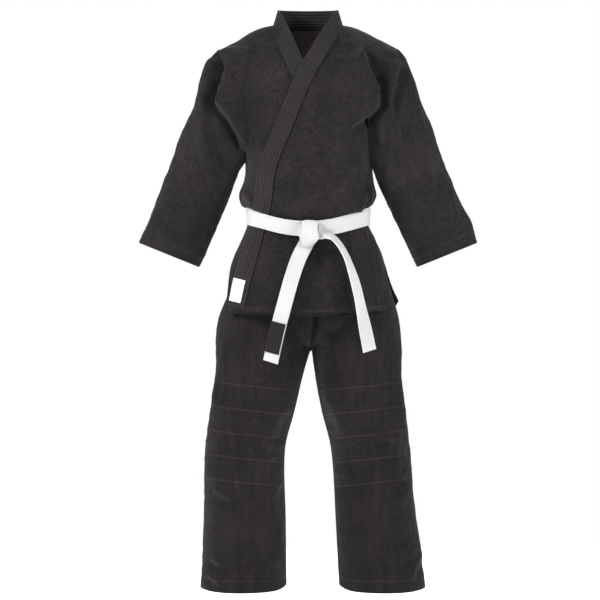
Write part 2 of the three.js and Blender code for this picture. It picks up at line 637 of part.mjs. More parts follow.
// The waistband is a tube of doubled cloth that the drawstring runs through.
const bandRing = (u, v, lift) => {
  const angle = u * 2 * Math.PI;
  const z = -trouserWaistDrop - waistbandHeight * (1 - v);
  const [halfWidth, depth] = seat(z);
  return new THREE.Vector3((halfWidth + lift) * Math.cos(angle), -(depth + lift) * Math.sin(angle),
    z);
};
piece("waistband", sheet(bandRing, { across: 28, along: 1, inner: -trouserCloth,
  outer: trouserCloth, closed: true }), blackDrill);
// Loops on the waistband's front that keep the drawstring in place.
const loopHalfWidth = 5;
const loopStand = 4;
for (const [name, angle] of [["left", 70], ["right", 110]])
  piece("drawstring_loop_" + name,
    sheet((u, v, lift) => {
      const turn = THREE.MathUtils.degToRad(angle) + ((u - 0.5) * 2 * loopHalfWidth)
        / trouserWaistHalfWidth;
      const bow = loopStand * Math.sin(Math.PI * v);
      return bandRing(turn / (2 * Math.PI), mix(0.12, 0.88, v), trouserCloth + layerGap + lift
        + bow);
    }, { across: 1, along: 6, inner: 0, outer: patchCloth }), blackDrill);

// ---- Trouser legs ------------------------------------------------------------------------
for (const [name, side] of [["left", 1], ["right", -1]]) {
  const form = legForms[name];
  for (const [view, face] of [["front", -1], ["back", 1]])
    piece("leg_" + view + "_" + name,
      sheet((u, v, lift) => {
        const z = mix(-trouserDrop, legTop, v);
        const edge = seamGap / form(z)[2];
        return legPoint(form, side, face, mix(edge, Math.PI - edge, u), z, lift);
      }, { across: 12, along: 10, inner: 0, outer: trouserCloth }), blackDrill);
  const patchEdge = THREE.MathUtils.degToRad(11);
  piece("knee_patch_" + name,
    sheet((u, v, lift) => legPoint(form, side, -1, mix(patchEdge, Math.PI - patchEdge, u),
      mix(-kneePatchBottom, -kneePatchTop, v), lift),
    { across: 12, along: 6, inner: trouserCloth + patchGap,
      outer: trouserCloth + patchGap + patchCloth }), blackDrill);
  piece("hem_facing_" + name,
    sheet((u, v, lift) => {
      const turn = u * 2 * Math.PI;
      const face = turn < Math.PI ? -1 : 1;
      return legPoint(form, side, face, turn < Math.PI ? turn : 2 * Math.PI - turn,
        mix(-trouserDrop + 1, -trouserDrop + hemFacing, v), lift);
    }, { across: 24, along: 1, inner: -layerGap - patchCloth, outer: -layerGap,
      closed: true }), blackDrill);
}

export default uniform;
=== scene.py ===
import bpy
import math
import numpy as np
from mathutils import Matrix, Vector


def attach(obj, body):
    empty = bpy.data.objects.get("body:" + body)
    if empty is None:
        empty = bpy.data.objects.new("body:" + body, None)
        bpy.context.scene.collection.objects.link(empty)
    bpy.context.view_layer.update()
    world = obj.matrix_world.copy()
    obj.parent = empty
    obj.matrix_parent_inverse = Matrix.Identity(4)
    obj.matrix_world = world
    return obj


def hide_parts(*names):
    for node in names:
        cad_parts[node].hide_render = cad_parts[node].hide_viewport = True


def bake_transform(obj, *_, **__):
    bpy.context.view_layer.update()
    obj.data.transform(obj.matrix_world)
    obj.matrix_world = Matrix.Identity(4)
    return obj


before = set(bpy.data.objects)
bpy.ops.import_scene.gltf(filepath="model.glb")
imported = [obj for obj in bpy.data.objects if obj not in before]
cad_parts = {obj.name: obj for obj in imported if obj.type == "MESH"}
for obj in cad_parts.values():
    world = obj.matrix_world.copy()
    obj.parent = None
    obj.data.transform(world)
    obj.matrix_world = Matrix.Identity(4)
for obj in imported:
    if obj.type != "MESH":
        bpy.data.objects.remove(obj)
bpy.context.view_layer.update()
print("frame loaded")

rootBody = "jacket_and_seat"
metre = 0.001  # shapes are worked out in millimetres
foldScale = 1.55  # how strongly the main folds stand out
farAway = 4000.0  # in an edge map: no edge near

# sizes that several pieces share, in millimetres, origin at the middle of the neck opening
form = dict(
    shoulderDrop=75, armpitDrop=348, armholeDepth=80, beltDrop=495, beltFrontDip=33,
    beltBackRise=10, beltWidth=39, beltThickness=3.2, jacketLength=738, roundness=2.25,
    trouserWaistDrop=482,
    crotchDrop=832, crotchRound=132, trouserDrop=1466, sleeveLength=525, sleeveAngle=22,
    cuffHalfWidth=82, cuffHalfDepth=46, bandWidth=44)


# small tools

# rises smoothly from 0 to 1 as x goes from low to high, 3t^2 - 2t^3; low may be the larger one
def ease(low, high, x):
    t = np.clip((np.asarray(x, float) - low) / (high - low), 0, 1)
    return t * t * (3 - 2 * t)


def mix(a, b, t):  # a where t is 0, b where t is 1
    return a + (b - a) * t


def signedPower(value, power):  # the size raised to the power, with the sign kept
    return np.sign(value) * np.abs(value) ** power


def bump(middle, halfWidth, x):  # a round hill, 1 at the middle
    return np.exp(-((np.asarray(x, float) - middle) / halfWidth) ** 2)


# a smooth curve through rows [z, value, value ...] listed from the top down, Hermite between rows
def profileOf(rows):
    table = np.array(rows, float)
    zs, values = table[:, 0], table[:, 1:]
    slopes = np.empty_like(values)
    slopes[1:-1] = (values[2:] - values[:-2]) / (zs[2:] - zs[:-2])[:, None]
    slopes[0] = (values[1] - values[0]) / (zs[1] - zs[0])
    slopes[-1] = (values[-1] - values[-2]) / (zs[-1] - zs[-2])

    def at(z):
        z = np.asarray(z, float)
        i = np.clip(np.searchsorted(-zs, -z, side="right") - 1, 0, len(zs) - 2)
        span = zs[i + 1] - zs[i]
        t = np.clip((z - zs[i]) / span, 0, 1)[..., None]
        rise = t * t * (3 - 2 * t)
        bend = t * (1 - t) * ((1 - t) * slopes[i] - t * slopes[i + 1]) * span[..., None]
        return np.moveaxis(mix(values[i], values[i + 1], rise) + bend, -1, 0)

    return at


# a sum of cosines with seeded directions and phases, about -1 to 1; stretch lengthens it along b
def waves(seed, wavelength, spread=0.35, stretch=1.0, count=14):
    dice = np.random.default_rng(seed)
    lengths = wavelength * np.exp(dice.uniform(-spread, spread, count))
    turns = dice.uniform(0, math.pi, count)
    phases = dice.uniform(0, 2 * math.pi, count)
    ka = 2 * math.pi / lengths * np.cos(turns)
    kb = 2 * math.pi / lengths * np.sin(turns) / stretch

    def at(a, b):
        total = 0
        for p, q, phase in zip(ka, kb, phases):
            total = total + np.cos(a * p + b * q + phase)
        return total / math.sqrt(count)

    return at


# the same, folded over at zero so that it makes creases instead of hills
def creases(seed, wavelength, stretch=1.0, spread=0.3):
    field = waves(seed, wavelength, spread, stretch, 9)
    return lambda a, b: 0.62 - np.abs(field(a, b))


# for every point (a, b): the distance to a polyline, the side it lies on and the share of the
# line's length there, from the nearest of its straight parts
def alongLine(points, a, b):
    points = np.array(points, float)
    lengths = np.hypot(*(points[1:] - points[:-1]).T)
    total, done = lengths.sum(), 0.0
    best = np.full(np.shape(a), 1e9)
    side, share = np.zeros(np.shape(a)), np.zeros(np.shape(a))
    for (a0, b0), (a1, b1), length in zip(points[:-1], points[1:], lengths):
        da, db = (a1 - a0) / length, (b1 - b0) / length
        t = np.clip((a - a0) * da + (b - b0) * db, 0, length)
        offA, offB = a - a0 - da * t, b - b0 - db * t
        distance = np.hypot(offA, offB)
        nearer = distance < best
        best = np.where(nearer, distance, best)
        side = np.where(nearer, np.sign(da * offB - db * offA), side)
        share = np.where(nearer, (done + t) / total, share)
        done += length
    return best, side, share


# a fold along a line of places; turn picks its steep side, and it fades in and out over these
# shares of its length
def fold(line, height, soft, steep, turn, valley=0.6, fadeIn=0.2, fadeOut=0.3):
    return dict(line=line, height=height, soft=soft, steep=steep, turn=turn, valley=valley,
                fadeIn=fadeIn, fadeOut=fadeOut)


# a fold is a ridge along a line, with a soft side, a steep side and a valley beyond the steep one:
# each side falls off as e^(-distance/reach) from a crest 3 mm in radius
def foldHeight(folds, a, b):
    total = np.zeros(np.shape(a))
    for each in folds:
        distance, side, share = alongLine(each["line"], a, b)
        reach = distance * side * each["turn"]
        taper = ease(0, each["fadeIn"], share) * ease(1, 1 - each["fadeOut"], share)
        soft, steep = each["soft"], each["steep"]
        crest = np.sqrt(reach ** 2 + 9) - 3
        ridge = np.where(reach > 0, np.exp(-crest / soft), np.exp(-crest / steep))
        valley = np.exp(-((reach + 2.1 * steep) / (1.5 * steep)) ** 2) * each["valley"]
        ends = np.exp(-np.maximum(distance - 3 * soft, 0) / soft)
        total = total + foldScale * each["height"] * taper * ends * (ridge - valley)
    return total


# unit normals of a grid of points, from the cross product of its two directions
def gridNormals(points, closed=False):
    if closed:
        acrossStep = np.roll(points, -1, 1) - np.roll(points, 1, 1)
    else:
        acrossStep = np.gradient(points, axis=1)
    alongStep = np.gradient(points, axis=0)
    normal = np.cross(acrossStep, alongStep)
    return normal / np.maximum(np.linalg.norm(normal, axis=2, keepdims=True), 1e-9)


# running length along one direction of a grid: the sum of the steps so far
def runningLength(points, axis):
    steps = np.linalg.norm(np.diff(points, axis=axis), axis=2)
    start = np.zeros_like(np.take(points[..., 0], [0], axis))
    return np.concatenate([start, np.cumsum(steps, axis)], axis)


# puts a grid into a mesh: a quad for each cell, turned to face the way of outward, with two UV maps
# in millimetres; a closed grid joins its last column to its first and has one more column of UVs
def gridMesh(name, points, cloth, outward, edge=None, closed=False):
    rows, columns = points.shape[:2]
    spots = np.arange(rows * columns).reshape(rows, columns)
    right = np.roll(spots, -1, 1) if closed else spots[:, 1:]
    left = spots if closed else spots[:, :-1]
    faces = np.stack([left[:-1], right[:-1], right[1:], left[1:]], -1).reshape(-1, 4)
    across = points.reshape(-1, 3)[faces[:, 1]] - points.reshape(-1, 3)[faces[:, 0]]
    along = points.reshape(-1, 3)[faces[:, 3]] - points.reshape(-1, 3)[faces[:, 0]]
    flip = np.sum(np.cross(across, along) * outward.reshape(-1, 3)[faces[:, 0]]) < 0
    if flip:
        faces = faces[:, ::-1]
    mesh = bpy.data.meshes.new(name)
    mesh.from_pydata((points.reshape(-1, 3) * metre).tolist(), [], faces.tolist())
    for label, values in (("cloth", cloth), ("edge", cloth if edge is None else edge)):
        corners = np.stack([values[:-1, :-1], values[:-1, 1:], values[1:, 1:], values[1:, :-1]], 2)
        corners = corners.reshape(-1, 4, 2)
        if flip:
            corners = corners[:, ::-1]
        layer = mesh.uv_layers.new(name=label)
        layer.data.foreach_set("uv", corners.reshape(-1).astype(np.float32))
    obj = bpy.data.objects.new(name, mesh)
    bpy.context.scene.collection.objects.link(obj)
    return obj


# coordinates for a closed grid: one more column, a full turn on
def wrapAround(values, turn):
    return np.concatenate([values, values[:, :1] + np.array([turn, 0.0])], 1)


# carries the last rows of a tube round its hem and back up inside it, gap between the two layers
def turnIn(points, outward, count, gap):
    inner = (points - outward * gap)[-count:][::-1]
    ahead = points[-1] - points[-2]
    ahead = ahead / np.linalg.norm(ahead, axis=-1, keepdims=True)
    fold = (points[-1] + inner[0]) / 2 + ahead * gap * 0.6
    facing = np.concatenate([outward, ahead[None], -outward[-count:][::-1]])
    return np.concatenate([points, fold[None], inner]), facing


# turns a tube's hem in and carries its cloth and edge maps on: step is the length of a row there
def hemmed(points, outward, cloth, edge, count, gap, step):
    shown = points.shape[0]
    points, facing = turnIn(points, outward, count, gap)
    more = points.shape[0] - shown
    cloth = np.concatenate([cloth, cloth[-1:] + np.arange(1, more + 1)[:, None, None] * [0, step]])
    edge = np.concatenate([edge, np.repeat(edge[-1:] * [1, 0] - [0, 50], more, 0)])
    return points, facing, cloth, edge


# a smooth run through a few points, evenly spaced: Hermite between them with averaged directions
def smoothRun(points, count):
    points = np.array(points, float)
    steps = np.linalg.norm(np.diff(points, axis=0), axis=1)
    at = np.concatenate([[0], np.cumsum(steps)])
    slopes = np.gradient(points, at, axis=0)
    s = np.linspace(0, at[-1], 12 * len(points))
    i = np.clip(np.searchsorted(at, s, side="right") - 1, 0, len(at) - 2)
    span = (at[i + 1] - at[i])[:, None]
    t = ((s - at[i])[:, None]) / span
    curve = (mix(points[i], points[i + 1], t * t * (3 - 2 * t))
             + t * (1 - t) * ((1 - t) * slopes[i] - t * slopes[i + 1]) * span)
    return evenRows(curve[:, None, :], count)[:, 0]


# the same rows of points, evenly spaced along their middle column
def evenRows(points, count):
    middle = points[:, points.shape[1] // 2]
    at = np.concatenate([[0], np.cumsum(np.linalg.norm(np.diff(middle, axis=0), axis=1))])
    s = np.linspace(0, at[-1], count)
    i = np.clip(np.searchsorted(at, s, side="right") - 1, 0, len(at) - 2)
    t = ((s - at[i]) / (at[i + 1] - at[i]))[:, None, None]
    return mix(points[i], points[i + 1], t)


# gives a sheet its thickness for good, then shades it smooth but for its cut edges
def finishCloth(obj, thickness, material, offset=-1.0, smoothing=0):
    wall = obj.modifiers.new("thickness", "SOLIDIFY")
    wall.thickness, wall.offset = thickness * metre, offset
    wall.use_even_offset = False
    if smoothing:
        curved = obj.modifiers.new("round", "SUBSURF")
        curved.levels = curved.render_levels = smoothing
    evaluated = obj.evaluated_get(bpy.context.evaluated_depsgraph_get())
    mesh = bpy.data.meshes.new_from_object(evaluated)
    obj.modifiers.clear()
    obj.data = mesh
    mesh.polygons.foreach_set("use_smooth", [True] * len(mesh.polygons))
    mesh.set_sharp_from_angle(angle=math.radians(52))
    mesh.materials.clear()
    mesh.materials.append(material)
    return obj


# works out a piece of cloth's rectangle from the one it was cut from, in millimetres, and its area
# from the share of that rectangle that the cut fills, which is less than 1 where it tapers: area =
# share x w x l; the results are not kept
def declareCloth(width, length, filled):
    width * metre
    length * metre
    filled * width * length * metre ** 2


# materials

# wraps a shader socket so that sums can be written as expressions
class Wire:
    def __init__(self, shader, socket):
        self.shader, self.socket = shader, socket

    def combine(self, operation, other, swap=False):
        pair = (other, self) if swap else (self, other)
        return self.shader.node("ShaderNodeMath", dict(operation=operation),
                                {0: pair[0], 1: pair[1]})

    def __add__(self, other): return self.combine("ADD", other)
    def __radd__(self, other): return self.combine("ADD", other)
    def __sub__(self, other): return self.combine("SUBTRACT", other)
    def __rsub__(self, other): return self.combine("SUBTRACT", other, True)
    def __mul__(self, other): return self.combine("MULTIPLY", other)
    def __rmul__(self, other): return self.combine("MULTIPLY", other)
    def __truediv__(self, other): return self.combine("DIVIDE", other)
    def __rtruediv__(self, other): return self.combine("DIVIDE", other, True)
    def __pow__(self, other): return self.combine("POWER", other)
    def __mod__(self, other): return self.combine("FLOORED_MODULO", other)
    def floor(self): return self.shader.node("ShaderNodeMath", dict(operation="FLOOR"), {0: self})
    def cos(self): return self.shader.node("ShaderNodeMath", dict(operation="COSINE"), {0: self})
    def abs(self): return self.shader.node("ShaderNodeMath", dict(operation="ABSOLUTE"), {0: self})
    def least(self, other): return self.combine("MINIMUM", other)
    def most(self, other): return self.combine("MAXIMUM", other)

    def ramp(self, low, high):  # 0 at low, 1 at high, smooth between
        return self.shader.node("ShaderNodeMapRange", dict(interpolation_type="SMOOTHSTEP"),
                                {"Value": self, "From Min": low, "From Max": high})


# a material under construction: its methods add nodes and hand back their sockets
class Shader:
    def __init__(self, name):
        self.material = bpy.data.materials.new(name)
        self.material.use_nodes = True
        self.tree = self.material.node_tree
        self.tree.nodes.clear()
        self.output = self.tree.nodes.new("ShaderNodeOutputMaterial")

    def node(self, kind, settings=None, inputs=None, out=0):
        made = self.tree.nodes.new(kind)
        for key, value in (settings or {}).items():
            setattr(made, key, value)
        for key, value in (inputs or {}).items():
            socket = made.inputs[key]
            if isinstance(value, Wire):
                self.tree.links.new(value.socket, socket)
            else:
                socket.default_value = value
        return Wire(self, made.outputs[out])

    def clothUv(self, label="cloth"):
        uv = self.node("ShaderNodeUVMap", dict(uv_map=label))
        parts = self.tree.nodes.new("ShaderNodeSeparateXYZ")
        self.tree.links.new(uv.socket, parts.inputs[0])
        return Wire(self, parts.outputs[0]), Wire(self, parts.outputs[1])

    def place(self):
        return self.node("ShaderNodeTexCoord", out="Object")

    def noise(self, vector, scale, detail=3.0, rough=0.55):
        return self.node("ShaderNodeTexNoise", {}, {"Vector": vector, "Scale": scale,
                                                   "Detail": detail, "Roughness": rough}, out="Fac")

    def blendColours(self, factor, first, second):
        made = self.tree.nodes.new("ShaderNodeMix")
        made.data_type = "RGBA"
        self.tree.links.new(factor.socket, made.inputs["Factor"])
        for key, value in ((6, first), (7, second)):
            if isinstance(value, Wire):
                self.tree.links.new(value.socket, made.inputs[key])
            else:
                made.inputs[key].default_value = (*value, 1)
        return Wire(self, made.outputs[2])

    def finish(self, colour, roughness, height, distance, sheen=0.0, sheenTint=(1, 1, 1),
               sheenRoughness=0.4):
        normal = self.node("ShaderNodeBump", {}, {"Height": height, "Distance": distance,
                                                 "Strength": 1.0}, out="Normal")
        cloth = self.node("ShaderNodeBsdfPrincipled", {}, {
            "Base Color": colour, "Roughness": roughness, "Normal": normal}, out="BSDF")
        shaderNode = cloth.socket.node
        shaderNode.inputs["Specular IOR Level"].default_value = 0.18
        shaderNode.inputs["Sheen Weight"].default_value = sheen
        shaderNode.inputs["Sheen Tint"].default_value = (*sheenTint, 1)
        shaderNode.inputs["Sheen Roughness"].default_value = sheenRoughness
        self.tree.links.new(cloth.socket, self.output.inputs["Surface"])
        return self.material


def times(colour, factor):  # a lighter or darker version of a colour
    return tuple(min(1, c * factor) for c in colour)


# rows of stitches: 1 on a thread, along a line where across is 0; pitch is one stitch and its gap
def stitchRow(across, along, width, pitch):
    line = 1 - (across.abs() / width).least(1.0)
    thread = ((along / pitch) % 1.0 - 0.5).abs() * 2
    return line * (1 - thread.ramp(0.62, 0.9))


weave = dict(grainLength=4.6, grainWidth=2.5, sheen=0.08, quiltTop=208.0, ventRowGap=9,
             hemRowGap=4.5)


# cotton in rice-grain weave: each row of small ovals is half a grain off the row before
def weaveMaterial(name, dark, light, hemRow=0.0, sideRow=0.0, diamond=0.0):
    grainLength, grainWidth = weave["grainLength"], weave["grainWidth"]
    s = Shader(name)
    u, v = s.clothUv()
    row = v / grainWidth
    shift = (row.floor() % 2.0) * 0.5
    grainU = ((u / grainLength + shift) % 1.0 - 0.5) * (2 * math.pi)
    grainV = (row % 1.0 - 0.5) * (2 * math.pi)
    grain = ((grainU.cos() + 1) * 0.5) ** 0.7 * ((grainV.cos() + 1) * 0.5) ** 0.7
    where = s.place()
    patches = s.noise(where, 9.0, 4.0)
    lint = s.noise(where, 420.0, 2.0)
    threads = s.noise(where, 90.0, 3.0)
    shade = grain * 0.4 + threads * 0.7 + patches * 0.75 - 0.5
    colour = s.blendColours(shade.ramp(0.05, 0.95), dark, light)
    height = grain * 0.9 + threads * 0.8
    edgeU, edgeV = s.clothUv("edge")
    for across, along, on in ((edgeV - hemRow, u, hemRow),
                              (edgeV - hemRow + weave["hemRowGap"], u, hemRow),
                              (edgeU - sideRow, v, sideRow),
                              (edgeU - sideRow - weave["ventRowGap"], v, sideRow)):
        if on:
            thread = stitchRow(across, along, 1.6, 3.6)
            groove = 1 - (across.abs() / 3.2).least(1.0)
            height = height - groove * 1.3 + thread * 0.8
            colour = s.blendColours(thread * 0.3, colour, times(light, 2.0))
    if diamond:
        onSkirt = 1 - v.ramp(weave["quiltTop"], weave["quiltTop"] + 8)
        for sign in (1, -1):
            across = ((u + v * sign) / diamond) % 1.0 - 0.5
            line = (1 - (across.abs() * (diamond / 2.2)).least(1.0)) * onSkirt
            height = height - line * 0.7
            colour = s.blendColours(line * 0.05, colour, times(light, 1.5))
    colour = s.blendColours((lint - 0.66).most(0.0) * 5.0, colour, times(light, 1.8))
    return s.finish(colour, 0.95 - grain * 0.1, height, 0.0009, weave["sheen"], (0.82, 0.78, 0.88))


# twill: fine ribs that climb to one side, crossed by softer threads
def drillMaterial(name, rib, dark, light, hemRow=0.0, rowsEvery=0.0, seam=False):
    s = Shader(name)
    u, v = s.clothUv()
    ribs = (((u + v * 0.75) / rib) * (2 * math.pi)).cos() * 0.5 + 0.5
    cross = ((v / (rib * 0.8)) * (2 * math.pi)).cos() * 0.5 + 0.5
    where = s.place()
    patches, threads = s.noise(where, 7.0, 4.0), s.noise(where, 120.0, 3.0)
    stretched = s.node("ShaderNodeMapping", {}, {"Vector": where, "Scale": (60, 60, 9)})
    slubs = s.noise(stretched, 1.0, 2.0)
    shade = ribs * 0.3 + threads * 0.6 + slubs * 0.6 + patches * 0.6 - 0.6
    colour = s.blendColours(shade.ramp(0.1, 0.9), dark, light)
    height = ribs * 0.6 + cross * 0.2 + threads * 0.5
    edgeU, edgeV = s.clothUv("edge")
    if hemRow:
        thread = stitchRow(edgeV - hemRow, u, 1.5, 3.4)
        groove = 1 - ((edgeV - hemRow).abs() / 3.0).least(1.0)
        height = height - groove * 1.2 + thread * 0.8
        colour = s.blendColours(thread * 0.55, colour, times(light, 2.4))
    if seam:  # a dark groove along the middle seam, with a row of stitches beside it
        groove = 1 - (edgeU.abs() / 3.4).least(1.0)
        thread = stitchRow(edgeU - 7.0, v, 1.3, 3.4)
        height = height - groove * 1.6 + thread * 0.5
        # painted shade: the seam's groove is darkened almost to black, as if no light reached into
        # it
        colour = s.blendColours((groove * 1.6).least(1.0), colour, times(dark, 0.05))
        colour = s.blendColours(thread * 0.25, colour, times(light, 1.8))
    if rowsEvery:
        across = (((edgeV - 3.0) / rowsEvery + 0.5) % 1.0 - 0.5) * rowsEvery
        thread = stitchRow(across, u, 1.9, 3.4)
        groove = 1 - (across.abs() / 3.0).least(1.0)
        height = height - groove * 0.9 + thread * 0.6
        colour = s.blendColours(thread * 0.5, colour, times(light, 3.2))
    return s.finish(colour, 0.93 - ribs * 0.05, height, 0.0007, 0.07, (0.85, 0.8, 0.9))


# a band sewn in rows: plain weave with a groove and a row of stitches every few millimetres, the
# grooves darkened with painted shade
def bandMaterial(name, rowGap, thread, dark, light, stitch, groove, sheen, roughness=0.93,
                 tint=(1, 1, 1)):
    s = Shader(name)
    u, v = s.clothUv()
    across = ((v / rowGap) % 1.0 - 0.5) * rowGap
    sewn = stitchRow(across, u, 0.9, 3.2)
    dipAndShade = 1 - (across.abs() / (rowGap * 0.36)).least(1.0)
    warp = ((u / thread) * (2 * math.pi)).cos() * 0.5 + 0.5
    weft = ((v / thread) * (2 * math.pi)).cos() * 0.5 + 0.5
    where = s.place()
    patches, fuzz = s.noise(where, 12.0, 4.0), s.noise(where, 260.0, 3.0)
    shade = warp * 0.2 + weft * 0.2 + fuzz * 0.4 + patches * 0.5 - 0.2
    colour = s.blendColours(shade.ramp(0.1, 0.9), dark, light)
    # painted shade: the colour is darkened in each groove between the rows of stitches, where shade
    # would fall
    colour = s.blendColours(dipAndShade * 0.35, colour, times(dark, 0.55))
    colour = s.blendColours(sewn * 0.75, colour, stitch)
    height = warp * 0.18 + weft * 0.18 + fuzz * 0.3 - dipAndShade * groove + sewn * 0.55
    return s.finish(colour, roughness - fuzz * 0.06, height, 0.0009, sheen, tint)


quiltGap = 62.25  # between the rows of stitches on the knee patches
blackDark, blackLight = (0.0056, 0.0045, 0.0052), (0.0300, 0.0251, 0.0287)
cloths = dict(
    jacket=weaveMaterial("pearl weave", blackDark, blackLight, hemRow=10, sideRow=8, diamond=30),
    sleeve=weaveMaterial("pearl weave sleeve", blackDark, blackLight, hemRow=34),
    # painted light: the lining, brownish in its own colour, is made several times brighter than the
    # jacket's black to make up for the light that does not reach inside the neck
    lining=drillMaterial("lining brightened with painted light", 1.4, (0.062, 0.051, 0.051), (0.125, 0.105, 0.105)),
    band=bandMaterial("quilted band", 7.3, 1.3, (0.0096, 0.0078, 0.0084), (0.0290, 0.0247, 0.0264),
                      (0.046, 0.041, 0.044), 2.4, 0.08, tint=(0.82, 0.78, 0.88)),
    drill=drillMaterial("trouser drill", 1.6, (0.0036, 0.0028, 0.0029), (0.0192, 0.0153, 0.0159),
                        hemRow=28, seam=True),
    patch=drillMaterial("quilted patch", 1.6, (0.0037, 0.0029, 0.0030), (0.0197, 0.0158, 0.0165),
                        rowsEvery=quiltGap),
    belt=bandMaterial("belt webbing", 4.6, 0.9, (0.50, 0.49, 0.485), (0.70, 0.69, 0.69),
                      (0.62, 0.61, 0.61), 0.5, 0.12, 0.85),
    label=bandMaterial("woven label", 3.0, 0.6, (0.86, 0.86, 0.86), (0.93, 0.93, 0.93),
                       (0.9, 0.9, 0.9), 0.12, 0.1, 0.6),
    bar=bandMaterial("bar cloth", 5.0, 0.9, (0.008, 0.007, 0.0072), (0.020, 0.0175, 0.018),
                     (0.024, 0.021, 0.022), 0.4, 0.1),
)
print("materials made")

# the jacket's form

hemZ, crotchZ, cuffZ = -form["jacketLength"], -form["crotchDrop"], -form["trouserDrop"]
shoulderRows = [(-75 * t, mix(88, 240, t ** 0.66), mix(58, 82, t), mix(62, 82, t))
                for t in (0.08, 0.22, 0.45, 0.72)]
torso = profileOf([
    (0, 88, 58, 62), *shoulderRows, (-75, 240, 82, 82), (-129.6, 224.6, 103.6, 98.8),
    (-211.5, 201.5, 116.2, 108.6), (-348, 163, 118, 110), (-405, 166, 120, 111),
    (-440, 174, 119, 112), (-463, 166, 113, 107), (-476, 153, 106, 102), (-520, 152, 106, 102),
    (-592.2, 186, 114, 108.4),
    (hemZ, 240, 122, 118)])
seat = profileOf([(-form["trouserWaistDrop"], 145, 90), (-550.75, 155.5, 96), (-647, 195.2, 106),
                  (-757, 226, 110), (crotchZ, 230, 104)])


# the belt's middle line at an angle round the waist: it dips in front and rises behind
def beltLine(angle):
    s = np.sin(angle)
    return -form["beltDrop"] - form["beltFrontDip"] * np.maximum(s, 0) ** 3 \
        + form["beltBackRise"] * np.maximum(-s, 0)


# half width, front and back depth: the waist follows the belt, the skirt clears the trousers
def torsoSize(angle, z):
    nearBelt = ease(hemZ, -569, z) * (1 - ease(-447, -348, z))
    size = torso(z + (-form["beltDrop"] - beltLine(angle)) * nearBelt)
    hipWide, hipDeep = seat(z)
    skirt = ease(-520, -560, z)
    room = np.stack([hipWide + 4, hipDeep + 6, hipDeep + 6])
    return mix(size, np.maximum(size, room), skirt)


# an oval that is a little square: x = w cos^(2/n), y = -d sin^(2/n); angle 0 is the wearer's left,
# a quarter turn the front
def torsoBase(angle, z):
    angle, z = np.broadcast_arrays(angle, z)
    halfWidth, front, back = torsoSize(angle, z)
    c, s = np.cos(angle), np.sin(angle)
    power = 2 / form["roundness"]
    return np.stack([halfWidth * signedPower(c, power),
                     -np.where(s > 0, front, back) * signedPower(s, power), z + 0.0], -1)


# the torso's outward direction, from small steps round it and down it
def torsoNormal(angle, z):
    low = np.minimum(z, -1.0)
    around = torsoBase(angle + 0.01, z) - torsoBase(angle - 0.01, z)
    down = torsoBase(angle, low - 1) - torsoBase(angle, low + 1)
    normal = np.cross(around, down)
    return normal / np.linalg.norm(normal, axis=-1, keepdims=True)


# the angle in front at which the torso has this x
def frontAngle(x, z):
    angle = np.full(np.broadcast(x, z).shape, math.pi / 2)
    for _ in range(4):
        share = np.minimum(np.abs(x) / torsoSize(angle, z)[0], 1) ** (form["roundness"] / 2)
        angle = np.where(x > 0, np.arccos(share), math.pi - np.arccos(share))
    return angle


armholeMiddle = -(form["shoulderDrop"] + form["armpitDrop"]) / 2
armholeHalf = (form["armpitDrop"] - form["shoulderDrop"]) / 2


# half the armhole's opening angle at a level: the armhole is an oval seen from the side
def armholeAngle(z, front):
    level = np.clip((z - armholeMiddle) / armholeHalf, -1, 1)
    depth = form["armholeDepth"] * np.sqrt(1 - level * level)
    return np.arcsin(np.minimum(depth / torso(z)[1 if front else 2], 1) ** (form["roundness"] / 2))


overBand = profileOf([(0, 68), (-140, -12), (-281, -71), (-361, -99), (-495, -121), (-619, -154),
                      (hemZ, -184)])
underBand = profileOf([(0, -76), (-125, -24), (-250, 34), (-361, 84), (-495, 112), (-619, 140),
                       (hemZ, 152)])

# main folds of the jacket seen from the front and the back, as lines of (x, z)
frontFolds = [
    fold([(-222, -62), (-204, -104), (-214, -142), (-226, -172), (-234, -197), (-200, -240),
         (-170, -290), (-152, -335)], 13, 26, 7, 1, valley=0.9, fadeIn=0.06, fadeOut=0.12),
    fold([(-230, -74), (-251, -125), (-264, -186), (-270, -240), (-262, -300), (-250, -345),
         (-240, -440)], 9, 22, 9, -1, valley=0.5, fadeIn=0.08, fadeOut=0.35),
    fold([(-163, -52), (-158, -96), (-166, -150), (-160, -205)], 5, 16, 8, -1, fadeIn=0.15,
         fadeOut=0.5),
    fold([(-131, -38), (-118, -62), (-104, -104)], 4, 12, 7, 1),
    fold([(132, -58), (150, -118), (172, -164), (174, -204), (166, -218), (132, -241),
         (66, -290)], 12, 28, 8, -1, valley=0.85, fadeIn=0.08, fadeOut=0.35),
    fold([(229, -84), (212, -140), (206, -196), (216, -262), (232, -330)], 9, 20, 9, -1,
         fadeIn=0.08, fadeOut=0.3),
    fold([(183, -214), (196, -288), (200, -330)], 8, 14, 8, 1),
    fold([(92, -36), (98, -66), (104, -84)], 4, 11, 7, 1),
    fold([(240, -158), (230, -270), (218, -420), (226, -520)], 6, 20, 10, 1, fadeIn=0.15,
         fadeOut=0.3),
    fold([(166, -424), (140, -446), (112, -462)], 6, 12, 7, 1, fadeOut=0.5),
    fold([(-165, -430), (-150, -446), (-136, -456)], 5, 10, 6, -1),
    fold([(40, -352), (70, -376), (112, -372), (140, -350)], 3.5, 16, 10, 1),
    fold([(60, -262), (20, -330), (-40, -420)], 2.6, 26, 16, 1),
]
